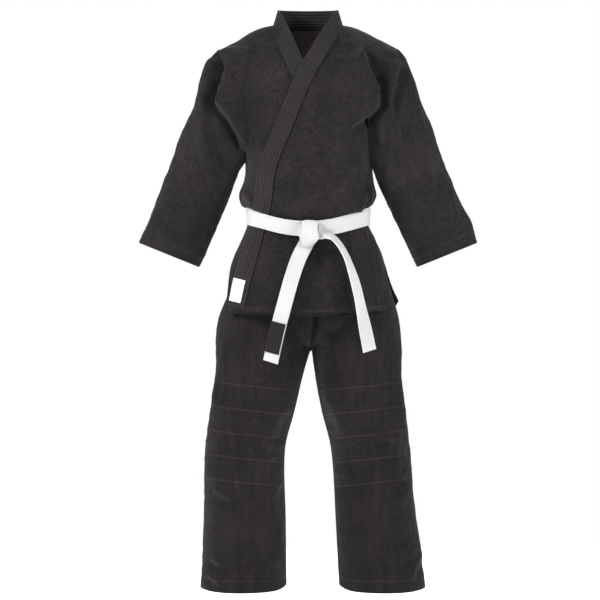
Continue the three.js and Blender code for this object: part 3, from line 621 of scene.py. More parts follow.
backFolds = [
    fold([(-215, -90), (-172, -190), (-120, -300), (-60, -400)], 6, 30, 14, 1),
    fold([(215, -90), (176, -200), (130, -310), (70, -410)], 6, 30, 14, -1),
    fold([(-190, -60), (-178, -160), (-168, -260), (-160, -340)], 8, 22, 9, -1),
    fold([(190, -60), (180, -160), (168, -260), (160, -340)], 8, 22, 9, 1),
    fold([(-80, -330), (0, -372), (90, -340)], 4, 22, 12, 1),
]
drape = dict(soft=2.4, fine=1.2, small=0.3, gatherAbove=2.8, gatherBelow=1.8, slack=4.5)
softDrape = waves(3, 120, 0.4, 1.6)
fineDrape = creases(8, 62, 1.5)
smallCrease = creases(21, 30, 1.3)
gatherWave = waves(14, 36, 0.4, 5.0)


# how far the jacket's cloth stands off its form: main folds in front and behind, soft drape all
# over, and gathers that grow towards the belt and vanish under it
def jacketDrape(points, normals, sleeve=False):
    x, y, z = points[..., 0], points[..., 1], points[..., 2]
    facing = -normals[..., 1]
    front, behind = ease(-0.1, 0.55, facing), ease(0.1, -0.55, facing)
    roundIt = x + 1.3 * y
    calm = ease(-2, -60, z)
    height = foldHeight(frontFolds, x, z) * front + foldHeight(backFolds, x, z) * behind
    height = height + (softDrape(roundIt, z) * drape["soft"] + fineDrape(roundIt, z) * drape["fine"]
                       + smallCrease(roundIt, z) * drape["small"]) * calm
    if sleeve:
        return height
    fromBelt = z - beltLine(np.arctan2(-y, x))
    above = ease(110, 34, fromBelt) * ease(20, 34, fromBelt)
    below = ease(-120, -36, fromBelt) * ease(-20, -36, fromBelt)
    height = height + gatherWave(roundIt, z) * (drape["gatherAbove"] * above
                                                + drape["gatherBelow"] * below)
    slack = drape["slack"] * front * ease(-220, -420, z)
    return height * ease(18, 34, np.abs(fromBelt)) + slack


layers = dict(panel=2.9, band=3.4, ridgeIn=20, ridgeOut=32)


# the ridge of the under band below the over panel: 1 on it, 0 beside it
def underRidge(x, z):
    return ease(layers["ridgeOut"], layers["ridgeIn"], np.abs(x - underBand(z)[0]))


# what lies under the over panel in front: the under panel, and the ridge of the under band on it
def overLift(x, z):
    edge = underBand(z)[0] + 26
    height = layers["panel"] + layers["band"] * underRidge(x, z)
    return height * (1 - ease(edge, np.maximum(edge + 20, torso(z)[0] - 2), x))


# rows crowd together a little at every stop
def crowdedRows(stops, counts):
    parts = []
    for start, end, count in zip(stops[:-1], stops[1:], counts):
        t = np.linspace(0, 1, count, endpoint=False)
        parts.append(mix(start, end, mix(t, (1 - np.cos(math.pi * t)) / 2, 0.75)))
    return np.concatenate(parts + [[stops[-1]]])


# the thickened turn-up along a hem: one step of cloth, with a dip where it is sewn
def turnUp(distance, width, rise):
    return rise * ease(width + 2.5, width - 1, distance) - 0.6 * bump(width - 2, 1.6, distance)


# length across the rows from the place where the angle is the middle one, for the weave
def acrossFrom(points, angle, middle):
    length = runningLength(points, 1)
    columns = points.shape[1]
    share = (middle - angle[:, :1]) / (angle[:, -1:] - angle[:, :1]) * (columns - 1)
    share = np.clip(share, 0, columns - 1.001)
    spot = share.astype(int)
    part = share - spot
    origin = length + points[..., 0]
    there = mix(np.take_along_axis(origin, spot, 1), np.take_along_axis(origin, spot + 1, 1), part)
    return length - there


panelRows = crowdedRows([hemZ, -545, -470, -348, -75, 0], [44, 24, 34, 64, 28])


# how far round from the side a panel starts: the armhole above, the vent's flare below
def sideOpen(z, front, vent):
    return armholeAngle(z, front) + math.radians(vent) * ease(-548, hemZ, z) ** 0.8


panelForm = dict(thickness=2.2, lift=2.2, hemTurn=22, ventTurn=20, turnRise=0.9, ventTop=-569,
                 frontDip=10)


# a panel of the jacket between two edges given as angles for each height
def jacketPanel(name, starts, ends, middle, liftOf, columns, ventAtStart, ventAtEnd, hemLower=0.0,
                cornerRise=0.0):
    level = panelRows[:, None]
    share = np.linspace(0, 1, columns)[None, :]
    angle = mix(starts(level), ends(level), share)
    nearHem = ease(-600, hemZ, level)
    z = level - nearHem * (hemLower + panelForm["frontDip"] * np.maximum(np.sin(angle), 0) ** 4) \
        + nearHem * cornerRise * ease(0.86, 1, share)
    points, normals = torsoBase(angle, z), torsoNormal(angle, z)
    lengthUp = -runningLength(points[::-1], 0)[::-1]
    lengthUp = lengthUp - lengthUp[:1]
    across = runningLength(points, 1)
    aboveVent = farAway * ease(panelForm["ventTop"] - 3, panelForm["ventTop"] + 3, z)
    fromVent = np.full(z.shape, farAway)
    if ventAtStart:
        fromVent = np.minimum(fromVent, across + aboveVent)
    if ventAtEnd:
        fromVent = np.minimum(fromVent, across[:, -1:] - across + aboveVent)
    lift = liftOf(points[..., 0], z) + jacketDrape(points, normals) + panelForm["lift"]
    lift = lift + turnUp(lengthUp, panelForm["hemTurn"], panelForm["turnRise"]) \
        + turnUp(fromVent, panelForm["ventTurn"], panelForm["turnRise"])
    points = points + normals * lift[..., None]
    cloth = np.stack([acrossFrom(points, angle, middle), lengthUp], -1)
    obj = gridMesh(name, points, cloth, normals, np.stack([fromVent, lengthUp], -1))
    return finishCloth(obj, panelForm["thickness"], cloths["jacket"])


over = jacketPanel("jacketFrontOver", lambda z: sideOpen(z, True, 36),
                   lambda z: frontAngle(overBand(z)[0] - 4, z), math.pi / 2, overLift, 104,
                   True, False)
under = jacketPanel("jacketFrontUnder", lambda z: frontAngle(underBand(z)[0] + 4, z),
                    lambda z: math.pi - sideOpen(z, True, 32), math.pi / 2, lambda x, z: 0 * x, 96,
                    False, True, hemLower=6)
back = jacketPanel("jacketBack", lambda z: math.pi + sideOpen(z, False, 25),
                   lambda z: 2 * math.pi - sideOpen(z, False, 9), 1.5 * math.pi,
                   lambda x, z: 1.3 * bump(0, 4, x), 150, True, True, cornerRise=20)
print("jacket panels made")

# collar band: one strip from hem to hem round the neck

bandForm = dict(thickness=3.2, crown=0.7, columns=13, neckOutset=2.5, topHalfWidth=76, topDepth=52,
                height=42)
bandShare = np.linspace(0, 1, bandForm["columns"])[None, :]  # 0 at the sewn edge, 1 at the free


# the band where it lies flat in front: points at right angles to its line, on the torso
def lapelRows(bandLine, freeSide, z, underside):
    tilt = np.arctan((bandLine(z + 4)[0] - bandLine(z - 4)[0]) / 8)
    away = (bandShare - 0.5) * form["bandWidth"] * freeSide
    x = bandLine(z)[0] + away * np.cos(tilt)
    height = np.minimum(z - away * np.sin(tilt), -0.5)
    angle = frontAngle(x, height)
    base, normal = torsoBase(angle, height), torsoNormal(angle, height)
    lift = underside(x, height) + bandForm["thickness"] + jacketDrape(base, normal) \
        + bandForm["crown"] * (1 - (2 * bandShare - 1) ** 4)
    return base + normal * lift[..., None]


def underBandRest(x, z):  # it lies on the under panel all along
    return 2.7 + 0 * x


def overBandRest(x, z):  # on the over panel at the sewn edge, on what is below it at the free edge
    return mix(overLift(x, z) + 2.6, layers["panel"] + layers["band"] * underRidge(x, z),
               ease(0.4, 0.8, bandShare))


# behind the neck the band stands up and leans in
def collarRows(angle):
    width = mix(88 + bandForm["neckOutset"], bandForm["topHalfWidth"], bandShare) + 3
    depth = mix(np.where(np.sin(angle) > 0, 58, 62) + bandForm["neckOutset"], bandForm["topDepth"],
                bandShare) + 3
    rise = mix(-7, bandForm["height"], bandShare)
    return np.stack(np.broadcast_arrays(width * np.cos(angle), -depth * np.sin(angle),
                                        rise + 0 * angle), -1)


# rows that lead smoothly from the end of one run of rows to the start of the next
def bridge(before, after, count):
    reach = np.linalg.norm(after[0] - before[-1], axis=-1, keepdims=True)
    leave, arrive = before[-1] - before[-3], after[2] - after[0]
    leave = leave / np.linalg.norm(leave, axis=-1, keepdims=True) * reach
    arrive = arrive / np.linalg.norm(arrive, axis=-1, keepdims=True) * reach
    t = np.linspace(0, 1, count + 2)[1:-1][:, None, None]
    return mix(before[-1], after[0], t * t * (3 - 2 * t)) \
        + t * (1 - t) * ((1 - t) * leave - t * arrive)


underRows = lapelRows(underBand, 1, np.linspace(hemZ + 2, -52, 140)[:, None], underBandRest)
neckRows = collarRows(np.linspace(math.pi - 0.1, 2 * math.pi + 0.1, 60)[:, None])
overRows = lapelRows(overBand, -1, np.linspace(-46, hemZ + 4, 140)[:, None], overBandRest)
bandPoints = np.concatenate([underRows, bridge(underRows, neckRows, 14), neckRows,
                             bridge(neckRows, overRows, 14), overRows])
bandPoints = evenRows(bandPoints, 400)
for _ in range(3):
    bandPoints[1:-1] = (bandPoints[:-2] + 2 * bandPoints[1:-1] + bandPoints[2:]) / 4
bandAlong = runningLength(bandPoints, 0)[:, 6:7] + 0 * bandShare
bandOut = gridNormals(bandPoints)
if bandOut[200, 6, 1] < 0:  # the middle of the band is behind the neck and faces back
    bandOut = -bandOut
bandCloth = np.stack(np.broadcast_arrays(bandAlong, bandShare * form["bandWidth"]), -1)
band = gridMesh("collarBand", bandPoints, bandCloth, bandOut)
finishCloth(band, bandForm["thickness"], cloths["band"])
print("collar band made")


# a patch of cloth lying on the torso between two edges given for each height
def torsoPatch(name, angles, z, lift, thickness, material, drape=True, closed=False):
    points, normals = torsoBase(angles, z), torsoNormal(angles, z)
    away = lift + (jacketDrape(points, normals) if drape else 0)
    if not drape:
        normals = normals * [1, 1, 0]
        normals = normals / np.linalg.norm(normals, axis=-1, keepdims=True)
    points = points + normals * away[..., None]
    across, up = runningLength(points, 1), z - z.min()
    cloth = np.stack([across, up + 0 * across], -1)
    if closed:
        cloth = wrapAround(cloth, float(across[0, -1] + across[0, 1]))
    obj = gridMesh(name, points, cloth, normals, closed=closed)
    return finishCloth(obj, thickness, material)


# the label is sewn on the band, near the hem of the over panel
labelForm = dict(fromHem=14, length=62, firstColumn=3, columns=9, thickness=0.8, gap=0.3)
fromEnd = bandAlong[-1, 0] - bandAlong[:, 0]
rows = np.flatnonzero((fromEnd >= labelForm["fromHem"])
                      & (fromEnd <= labelForm["fromHem"] + labelForm["length"] + 2))
span = slice(labelForm["firstColumn"], labelForm["firstColumn"] + labelForm["columns"])
labelOut = bandOut[rows][:, span]
labelPoints = bandPoints[rows][:, span] + labelOut * (labelForm["thickness"] + labelForm["gap"])
labelCloth = np.stack([runningLength(labelPoints, 0), runningLength(labelPoints, 1)], -1)
label = finishCloth(gridMesh("labelPatch", labelPoints, labelCloth, labelOut),
                    labelForm["thickness"], cloths["label"])

yokeForm = dict(depth=125, halfWidth=104, thickness=1.2)
yokeX = np.linspace(-1, 1, 61)[None, :] * yokeForm["halfWidth"]
yokeZ = np.linspace(-yokeForm["depth"], -10, 41)[:, None] + 0 * yokeX
# the yoke's lining carries painted light: its colour is brightened for the shade inside the neck
yoke = torsoPatch("yokeLining", 2 * math.pi - frontAngle(yokeX, yokeZ), yokeZ, -1.4 + 0 * yokeZ,
                  yokeForm["thickness"], cloths["lining"])

# the doubled, bar-tacked cloth where each side seam ends and the vent starts
tackForm = dict(halfAngle=0.075, bottom=-572, top=-536, lift=4.0, thickness=1.4)
tacks = []
for name, middle in (("ventTackLeft", 0.0), ("ventTackRight", math.pi)):
    tackAngle = middle + np.linspace(-tackForm["halfAngle"], tackForm["halfAngle"], 9)[None, :]
    tackZ = np.linspace(tackForm["bottom"], tackForm["top"], 13)[:, None] + 0 * tackAngle
    # the tacks share the lining's brightened colour with its painted light
    tacks.append(torsoPatch(name, tackAngle + 0 * tackZ, tackZ, tackForm["lift"] + 0 * tackZ,
                            tackForm["thickness"], cloths["lining"]))
print("label, yoke and tacks made")

# sleeves

lean = math.radians(form["sleeveAngle"])
shoulderPoint, armpitPoint = np.array([240.0, -75.0]), np.array([163.0, -348.0])
cuffTop = shoulderPoint + np.array([math.sin(lean), -math.cos(lean)]) * form["sleeveLength"]
cuffUnder = cuffTop + np.array([-math.cos(lean), -math.sin(lean)]) * 2 * form["cuffHalfWidth"]


# the ring of a sleeve: turn 0 is its top, a quarter turn its front, a half turn the underarm
def sleeveRing(turn, s):
    overLine = shoulderPoint + (cuffTop - shoulderPoint) * s[..., None]
    underLine = armpitPoint + (cuffUnder - armpitPoint) * s[..., None]
    middle, half = (overLine + underLine) / 2, (overLine - underLine) / 2
    depth = mix(form["armholeDepth"], form["cuffHalfDepth"], np.clip(s, 0, 1) ** 0.8)
    c = np.cos(turn)
    return np.stack([middle[..., 0] + half[..., 0] * c, -depth * np.sin(turn),
                     middle[..., 1] + half[..., 1] * c], -1)


# where a sleeve meets the torso: the armhole's oval laid on the torso's side
def armholeRing(turn):
    z = armholeMiddle + armholeHalf * np.cos(turn)
    y = -form["armholeDepth"] * np.sin(turn)
    halfWidth, front, behind = torso(z)
    share = np.minimum(np.abs(y) / np.where(y < 0, front, behind), 1)
    x = halfWidth * (1 - share ** form["roundness"]) ** (1 / form["roundness"])
    return np.stack([x, y, z], -1)


sleeveForm = dict(elbow=1.5, wave=2.4, cap=7, hemStitch=36, girth=2 * math.pi * 95, thickness=2.2)
elbowCrease = creases(33, 58, 0.6)
sleeveWave = waves(35, 130, 0.4, 2.0)
sleeves = {}
for name, side in (("Left", 1), ("Right", -1)):
    turns = np.linspace(0, 2 * math.pi, 120, endpoint=False)[None, :]
    s = np.concatenate([[-0.03, -0.015], np.linspace(0, 0.36, 46), np.linspace(0.36, 0.92, 58)[1:],
                        np.linspace(0.92, 1, 14)[1:]])[:, None]
    grid = s + 0 * turns
    settle = (1 - ease(0, 0.36, grid))[..., None]
    points = sleeveRing(turns + 0 * s, grid)
    points = points + (armholeRing(turns + 0 * s) - sleeveRing(turns + 0 * s, 0 * grid)) * settle
    points[..., 0] *= side
    outward = gridNormals(points, closed=True)
    axis = points.mean(1, keepdims=True)
    outward = outward * np.sign(np.sum(outward * (points - axis)))
    x, z = points[..., 0], points[..., 2]
    around = np.cos(turns)
    body = ease(0, 0.12, grid) * ease(1.0, 0.9, grid)
    elbow = bump(0.5, 0.22, grid)
    lift = 2.2 + jacketDrape(points, outward, sleeve=True) * ease(1.02, 0.86, grid)
    crease = elbowCrease(x * side * 1.2 + 80 * side, z + 2 * points[..., 1])
    lift = lift + body * (crease * sleeveForm["elbow"] * elbow
                          + sleeveWave(x, z + points[..., 1]) * sleeveForm["wave"])
    # the full sleeve cap
    lift = lift + sleeveForm["cap"] * bump(0.1, 0.12, grid) * np.maximum(around, 0) ** 2
    lift = lift - 2.4 * ease(0.025, 0.0, grid) - 5 * ease(0, -0.03, grid)
    fromCuff = (1 - grid) * form["sleeveLength"]
    lift = lift - 0.8 * bump(sleeveForm["hemStitch"], 2.0, fromCuff)
    points = points + outward * lift[..., None]
    length = runningLength(points, 0)
    girth = sleeveForm["girth"]
    cloth = np.stack([turns / (2 * math.pi) * girth + 0 * length, length], -1)
    edge = np.stack([0 * fromCuff + farAway, fromCuff], -1)
    points, facing, cloth, edge = hemmed(points, outward, cloth, edge, 8, 3.0, 5.0)
    obj = gridMesh("sleeve" + name, points, wrapAround(cloth, girth), facing,
                   wrapAround(edge, 0), True)
    sleeves[name] = finishCloth(obj, sleeveForm["thickness"], cloths["sleeve"], offset=0.0)
print("sleeves made")

# belt, knot and tails

beltForm = dict(frontLift=14.5, sideLift=3.8, secondLift=3.7, crown=0.5)


# one turn of the belt: a strip on the torso along the belt's line, lifted over the layers in front
def beltWrap(name, order, lower):
    angle = np.linspace(0, 2 * math.pi, 220, endpoint=False)[None, :]
    share = np.linspace(-0.5, 0.5, 7)[:, None]
    z = beltLine(angle) + lower * (0.5 + 0.5 * np.sin(angle * 2 + 1)) + share * form["beltWidth"]
    s = np.sin(angle)
    lift = mix(beltForm["sideLift"], beltForm["frontLift"], ease(0.12, 0.7, s)) \
        + order * beltForm["secondLift"] + form["beltThickness"] \
        + beltForm["crown"] * (1 - (2 * share) ** 4) + 0.5 * np.sin(7 * angle + 2 * order)
    return torsoPatch(name, angle + 0 * z, z, lift, form["beltThickness"], cloths["belt"],
                      drape=False, closed=True)


wraps = [beltWrap("beltWrapInner", 0, 3.4), beltWrap("beltWrapOuter", 1, -3.0)]
beltFront = -(106 + beltForm["frontLift"] + beltForm["secondLift"] + form["beltThickness"])


# a strip of webbing along a path: width across it, turned about the path by tilts in degrees
def ribbon(name, path, width, tilts, count=90, columns=9, crown=0.6, widths=None, ripple=0.0,
           slant=(0.0, 0.0), level=False):
    middle = smoothRun(path, count)
    ahead = np.gradient(middle, axis=0)
    ahead = ahead / np.linalg.norm(ahead, axis=1, keepdims=True)
    flat = np.stack([-ahead[:, 2], 0 * ahead[:, 0], ahead[:, 0]], -1)
    if level:
        flat = np.array([1.0, 0, 0]) - ahead * ahead[:, :1]
    flat = flat / np.linalg.norm(flat, axis=1, keepdims=True)
    away = np.cross(flat, ahead)
    t = np.linspace(0, 1, count)
    tilt = np.radians(np.interp(t, np.linspace(0, 1, len(tilts)), tilts))[:, None]
    wide = flat * np.cos(tilt) + away * np.sin(tilt)
    outward = np.cross(wide, ahead)
    outward = outward * np.sign(np.sum(outward[:, 1]) * -1 or 1)
    share = np.linspace(-0.5, 0.5, columns)
    size = np.interp(t, np.linspace(0, 1, len(widths)), widths) if widths else np.full(count, width)
    grid = middle[:, None] + wide[:, None] * (share[None, :, None] * size[:, None, None])
    lift = crown * (1 - (2 * share) ** 4)[None, :] \
        + ripple * np.sin(t * 17)[:, None] * (share * 2)[None, :]
    grid = grid + outward[:, None] * lift[..., None]
    ends = slant[0] * (1 - t) ** 8 + slant[1] * t ** 8  # the cut ends lie at a slant
    grid = grid + ahead[:, None] * (share[None, :, None] * ends[:, None, None])
    run = runningLength(grid, 0)
    cloth = np.stack([run, (share + 0.5)[None, :] * width + 0 * run], -1)
    obj = gridMesh(name, grid, cloth, np.repeat(outward[:, None], columns, 1))
    finishCloth(obj, form["beltThickness"], cloths["belt"])
    return obj, grid, np.repeat(outward[:, None], columns, 1)


f = beltFront
tailRight, tailGrid, tailOut = ribbon(
    "beltTailRight", [(6, f - 7, -548), (-8, f - 10, -572), (-25, f - 15, -606),
                      (-42, f - 20, -655), (-58, f - 24, -712), (-76, f - 24, -780),
                      (-97, f - 24, -872)],
    39, [6, 0, -3, 2, 0], ripple=0.8, slant=(0, 3))
tailLeft, _, _ = ribbon(
    "beltTailLeft", [(44, f - 14, -540), (62, f - 18, -548), (80, f - 22, -566), (97, f - 23, -594),
                     (113, f - 22, -636), (127, f - 20, -684), (140, f - 18, -746),
                     (159, f - 18, -843)],
    39, [72, 72, 66, 60, 54, 46, 36, 28], ripple=0.7, slant=(0, -4))
# the knot: a turn of webbing drawn up over both wraps, with the second end tucked across under it
knotParts = [
    ribbon("beltKnot", [(7, f + 4, -512), (6, f - 6, -509), (5, f - 15, -511), (4, f - 22, -519),
                        (3, f - 26, -532), (2, f - 26, -547), (-1, f - 23, -561),
                        (-3, f - 16, -572), (-3, f - 7, -574), (-2, f + 2, -567)],
           44, [3, 0, -3], count=80, widths=[40, 42, 42, 41, 44, 53, 43, 26, 16, 14], crown=3.0,
           level=True)[0],
    ribbon("knotUnder", [(-30, f - 3, -530), (-14, f - 8, -534), (10, f - 13, -539),
                         (30, f - 14, -543), (48, f - 13, -545), (64, f - 16, -550)],
           34, [6, 4, 10, 34, 56, 72], count=60, widths=[30, 32, 32, 30, 28, 34], crown=1.6)[0],
    ribbon("knotSide", [(20, f - 2, -520), (23, f - 11, -521), (24, f - 17, -528),
                        (22, f - 17, -538), (15, f - 13, -550)],
           16, [-24, -30, -34, -30], count=40, widths=[10, 14, 17, 18, 14], crown=1.6)[0]]

# the dark bar folded round the right tail; a thin edge of the belt shows beside it
barForm = dict(start=0.70, end=0.925, edge=0.07, thickness=1.0, gap=0.5)
rows = np.arange(int(90 * barForm["start"]), int(90 * barForm["end"]) + 1)
clear = barForm["gap"] + barForm["thickness"]
front = tailGrid[rows] + tailOut[rows] * clear
rear = tailGrid[rows] - tailOut[rows] * (form["beltThickness"] + clear)
leftFirst = tailGrid[60, 0, 0] < tailGrid[60, -1, 0]
if not leftFirst:
    front, rear = front[:, ::-1], rear[:, ::-1]
keep = 1 - barForm["edge"]
stops = np.linspace(keep, 0, 9) * (front.shape[1] - 1)
low = np.floor(stops).astype(int)
part = (stops - low)[None, :, None]
high = np.minimum(low + 1, front.shape[1] - 1)
frontSide = mix(front[:, low], front[:, high], part)
rearSide = mix(rear[:, low], rear[:, high], part)[:, ::-1]
turnOver = (frontSide[:, -1:] + rearSide[:, :1]) / 2 \
    + (frontSide[:, -1:] - frontSide[:, -2:-1]) * 0.35
barPoints = np.concatenate([frontSide, turnOver, rearSide], 1)
outs = tailOut[rows][:, :1]
barOut = np.concatenate([outs.repeat(9, 1), frontSide[:, -1:] - frontSide[:, -2:-1],
                         -outs.repeat(9, 1)], 1)
barRun, barAcross = runningLength(barPoints, 0), runningLength(barPoints, 1)
rankBar = finishCloth(gridMesh("rankBar", barPoints, np.stack([barRun, barAcross], -1), barOut),
                      barForm["thickness"], cloths["bar"])
print("belt made")

# trousers

# the middle, half width and half depth of each leg; the left one hangs further out
legForm = {
    side: profileOf([(crotchZ, 121, 119, 86), (-905, 129, 111, 85), (-995, 144, 107.5, 79),
                     (-1100, 162, 100, 72), (-1283, knee, 105, 64.8), (cuffZ, hem, 110, 60)])
    for side, knee, hem in ((1, 179, 193), (-1, 165.3, 168))}


# the middle seam hangs a little towards the wearer's left
seamShift = profileOf([(-560, 8), (-680, 20), (-760, 21), (crotchZ, 9), (-905, 3), (-1000, 0)])


# the trousers' surface on one side. c runs 0 to 1 from the middle of the front round the outer side
# to the middle of the back; the hips' oval turns into the leg's ring along a round crotch
def trouserBase(side, c, z):
    c, z = np.broadcast_arrays(c, z)
    face = np.where(c < 0.5, -1.0, 1.0)
    u = 1 - np.abs(1 - 2 * c)
    middle, legWide, legDeep = legForm[side](np.minimum(z, crotchZ))
    level = np.clip((crotchZ + form["crotchRound"] - z) / form["crotchRound"], 0, 1)
    roundCrotch = 1 - np.sqrt(np.maximum(1 - level * level, 0))
    part = mix(roundCrotch, level * level * (3 - 2 * level), ease(0, 0.4, u))
    halfWidth, depth = seat(z)
    hipTurn = u * math.pi / 2
    power = 2 / form["roundness"]
    hipX, hipY = halfWidth * np.sin(hipTurn) ** power, depth * np.abs(np.cos(hipTurn)) ** power
    legTurn = math.pi * (1 - u)
    legX, legY = middle + legWide * np.cos(legTurn), legDeep * np.sin(legTurn)
    x = side * mix(hipX, legX, part)
    x = x + seamShift(z)[0] * (1 - np.minimum(np.abs(x) / 240, 1) ** 2)
    return np.stack([x, face * mix(hipY, legY, part), z + 0.0], -1)


# the trousers' outward direction, from small steps round them and down them
def trouserNormal(side, c, z):
    low, high = np.clip(c - 0.004, 0, 1), np.clip(c + 0.004, 0, 1)
    around = trouserBase(side, high, z) - trouserBase(side, low, z)
    down = trouserBase(side, c, z - 1.5) - trouserBase(side, c, z + 1.5)
    normal = np.cross(around, down)
    return -side * normal / np.maximum(np.linalg.norm(normal, axis=-1, keepdims=True), 1e-9)


legFolds = [
    fold([(-205, -800), (-222, -860), (-236, -930), (-240, -1020)], 5, 26, 14, -1),
    fold([(-60, -850), (-96, -900), (-140, -935)], 4.5, 22, 12, 1),
    fold([(-66, -985), (-96, -1050), (-112, -1110)], 4, 20, 9, -1),
    fold([(-70, -1100), (-110, -1080), (-165, -1088)], 4, 16, 8, 1),
    fold([(-75, -1180), (-100, -1230), (-84, -1290)], 5, 20, 9, -1),
    fold([(-250, -1200), (-200, -1222), (-140, -1216)], 3.5, 16, 8, 1),
    fold([(-262, -1370), (-230, -1392), (-190, -1396), (-120, -1380)], 4.5, 16, 8, 1),
    fold([(-262, -1420), (-240, -1436), (-222, -1444)], 3.5, 10, 6, 1),
    fold([(44, -790), (92, -850), (120, -905)], 4.5, 24, 12, -1),
    fold([(236, -800), (232, -900), (246, -1010), (250, -1080)], 5, 28, 14, 1),
    fold([(252, -1078), (214, -1084), (150, -1070), (86, -1074)], 4.5, 18, 8, 1),
    fold([(58, -960), (70, -1010), (92, -1060)], 2.5, 18, 8, 1),
    fold([(258, -1190), (236, -1230), (216, -1260)], 4.5, 18, 9, 1),
    fold([(280, -1330), (262, -1366), (206, -1378), (150, -1370)], 4.5, 16, 8, 1),
    fold([(292, -1362), (270, -1410), (262, -1450)], 4, 12, 7, -1),
]
trouserForm = dict(drape=2.4, crease=1.5, fine=0.5, girth=620, thickness=1.6)
drillDrape = waves(51, 150, 0.4, 2.2)
drillCrease = creases(57, 84, 0.8)
drillFine = creases(59, 34, 1.2)


# how far the trousers' cloth stands off its form
def trouserDrape(points, normals):
    x, y, z = points[..., 0], points[..., 1], points[..., 2]
    front = ease(-0.1, 0.5, -normals[..., 1])
    legs = ease(-740, -860, z) * ease(cuffZ, -1400, z)
    kneeOrHem = 0.5 + bump(-1110, 90, z) + 0.8 * bump(-1390, 60, z)
    height = foldHeight(legFolds, x, z) * front
    around = x + 1.2 * y
    height = height + legs * (trouserForm["drape"] * drillDrape(around, z)
                              + trouserForm["crease"] * drillCrease(around, z) * kneeOrHem)
    return height + trouserForm["fine"] * drillFine(around, z) * ease(-640, -760, z)


legStops, legCounts = (-523, -700, crotchZ, -1420, cuffZ), (24, 56, 150, 14)
legRows = np.concatenate([np.linspace(a, b, count)[:-1] for a, b, count
                          in zip(legStops[:-1], legStops[1:], legCounts)] + [[cuffZ]])[:, None]
patchForm = dict(top=-933, bottom=-1188, start=0.055, end=0.445, thickness=1.2, lift=2.0)
trousers, patches = {}, {}
for name, side in (("Left", 1), ("Right", -1)):
    t = np.linspace(0, 1, 181)[None, :]
    c = t + 0.0 * legRows
    # the columns crowd near the middle seams, where the crotch turns
    c = mix(c, 0.5 - 0.5 * np.cos(math.pi * c), 0.35)
    points, outward = trouserBase(side, c, legRows), trouserNormal(side, c, legRows)
    u = 1 - np.abs(1 - 2 * c)
    fromMiddle = u * 150
    seamOpen = ease(-838, -826, legRows)
    lift = trouserForm["thickness"] + trouserDrape(points, outward) * ease(0, 0.1, u)
    lift = lift - 2.6 * bump(0, 3, fromMiddle) * seamOpen + 0.9 * bump(8, 3, fromMiddle) * seamOpen
    fromHem = legRows - cuffZ + 0 * t
    lift = lift - 0.7 * bump(26, 2.0, fromHem)
    lift = lift - 0.9 * bump(0.5, 0.006, c) * ease(-640, -700, legRows)  # the outer side seam
    lower = 4 * bump(0.27, 0.14, c) - 9 * bump(0.5, 0.1, c) \
        - 15 * (bump(0, 0.09, c) + bump(1, 0.09, c)) - 5 * bump(0.75, 0.1, c)
    points = points + outward * lift[..., None]
    points[..., 2] -= ease(-1400, cuffZ, legRows) * lower
    gap = side * (points[:, :1, 0] - seamShift(legRows)[0])
    points[..., 0] -= side * (gap + 0.5) * ease(-848, -838, legRows) * ease(0.02, 0, u)
    length = runningLength(points, 0)
    cloth = np.stack([c * trouserForm["girth"], length], -1)
    edge = np.stack([fromMiddle, fromHem], -1)
    points, facing, cloth, edge = hemmed(points, outward, cloth, edge, 9, 2.3, 3.5)
    obj = gridMesh("trouserLeg" + name, points, cloth, facing, edge)
    weld = obj.modifiers.new("inseam", "WELD")
    weld.merge_threshold = 0.00004
    trousers[name] = finishCloth(obj, trouserForm["thickness"], cloths["drill"], offset=0.0)

    pt = np.linspace(patchForm["start"], patchForm["end"], 90)[None, :]
    pz = np.linspace(patchForm["bottom"], patchForm["top"], 110)[:, None]
    slope = 13 * (pt - 0.25) / 0.2
    pz = pz + slope
    points, outward = trouserBase(side, pt, pz), trouserNormal(side, pt, pz)
    fromTop, fromBottom = patchForm["top"] + slope - pz, pz - patchForm["bottom"] - slope
    quilt = np.abs(np.sin(math.pi * (fromBottom - 3) / quiltGap))
    lift = trouserForm["thickness"] + patchForm["lift"] + trouserDrape(points, outward) \
        + 0.9 * quilt ** 0.6 \
        - 1.0 * bump(0, 2.5, np.minimum(fromTop, fromBottom))
    points = points + outward * lift[..., None]
    across = runningLength(points, 1)
    obj = gridMesh("kneePatch" + name, points, np.stack([across, fromBottom], -1), outward)
    patches[name] = finishCloth(obj, patchForm["thickness"], cloths["patch"])
print("trousers made")

# waistband, gathered on its drawstring, with two loops in front
waistForm = dict(top=-484, height=38, thickness=3.0, girth=760.0)
waistWave = waves(71, 26, 0.3, 4)


# points round the waist, an oval, pushed out by lift and by the gathers
def waistPoints(angle, z, lift):
    halfWidth, depth = seat(np.maximum(z, -522))
    out = np.stack(np.broadcast_arrays(np.cos(angle), -np.sin(angle), 0.0 * z), -1)
    base = np.stack(np.broadcast_arrays(halfWidth * np.cos(angle), -depth * np.sin(angle),
                                        z + 0.0), -1)
    return base + out * (lift + 1.0 * waistWave(angle * 120, z))[..., None], out


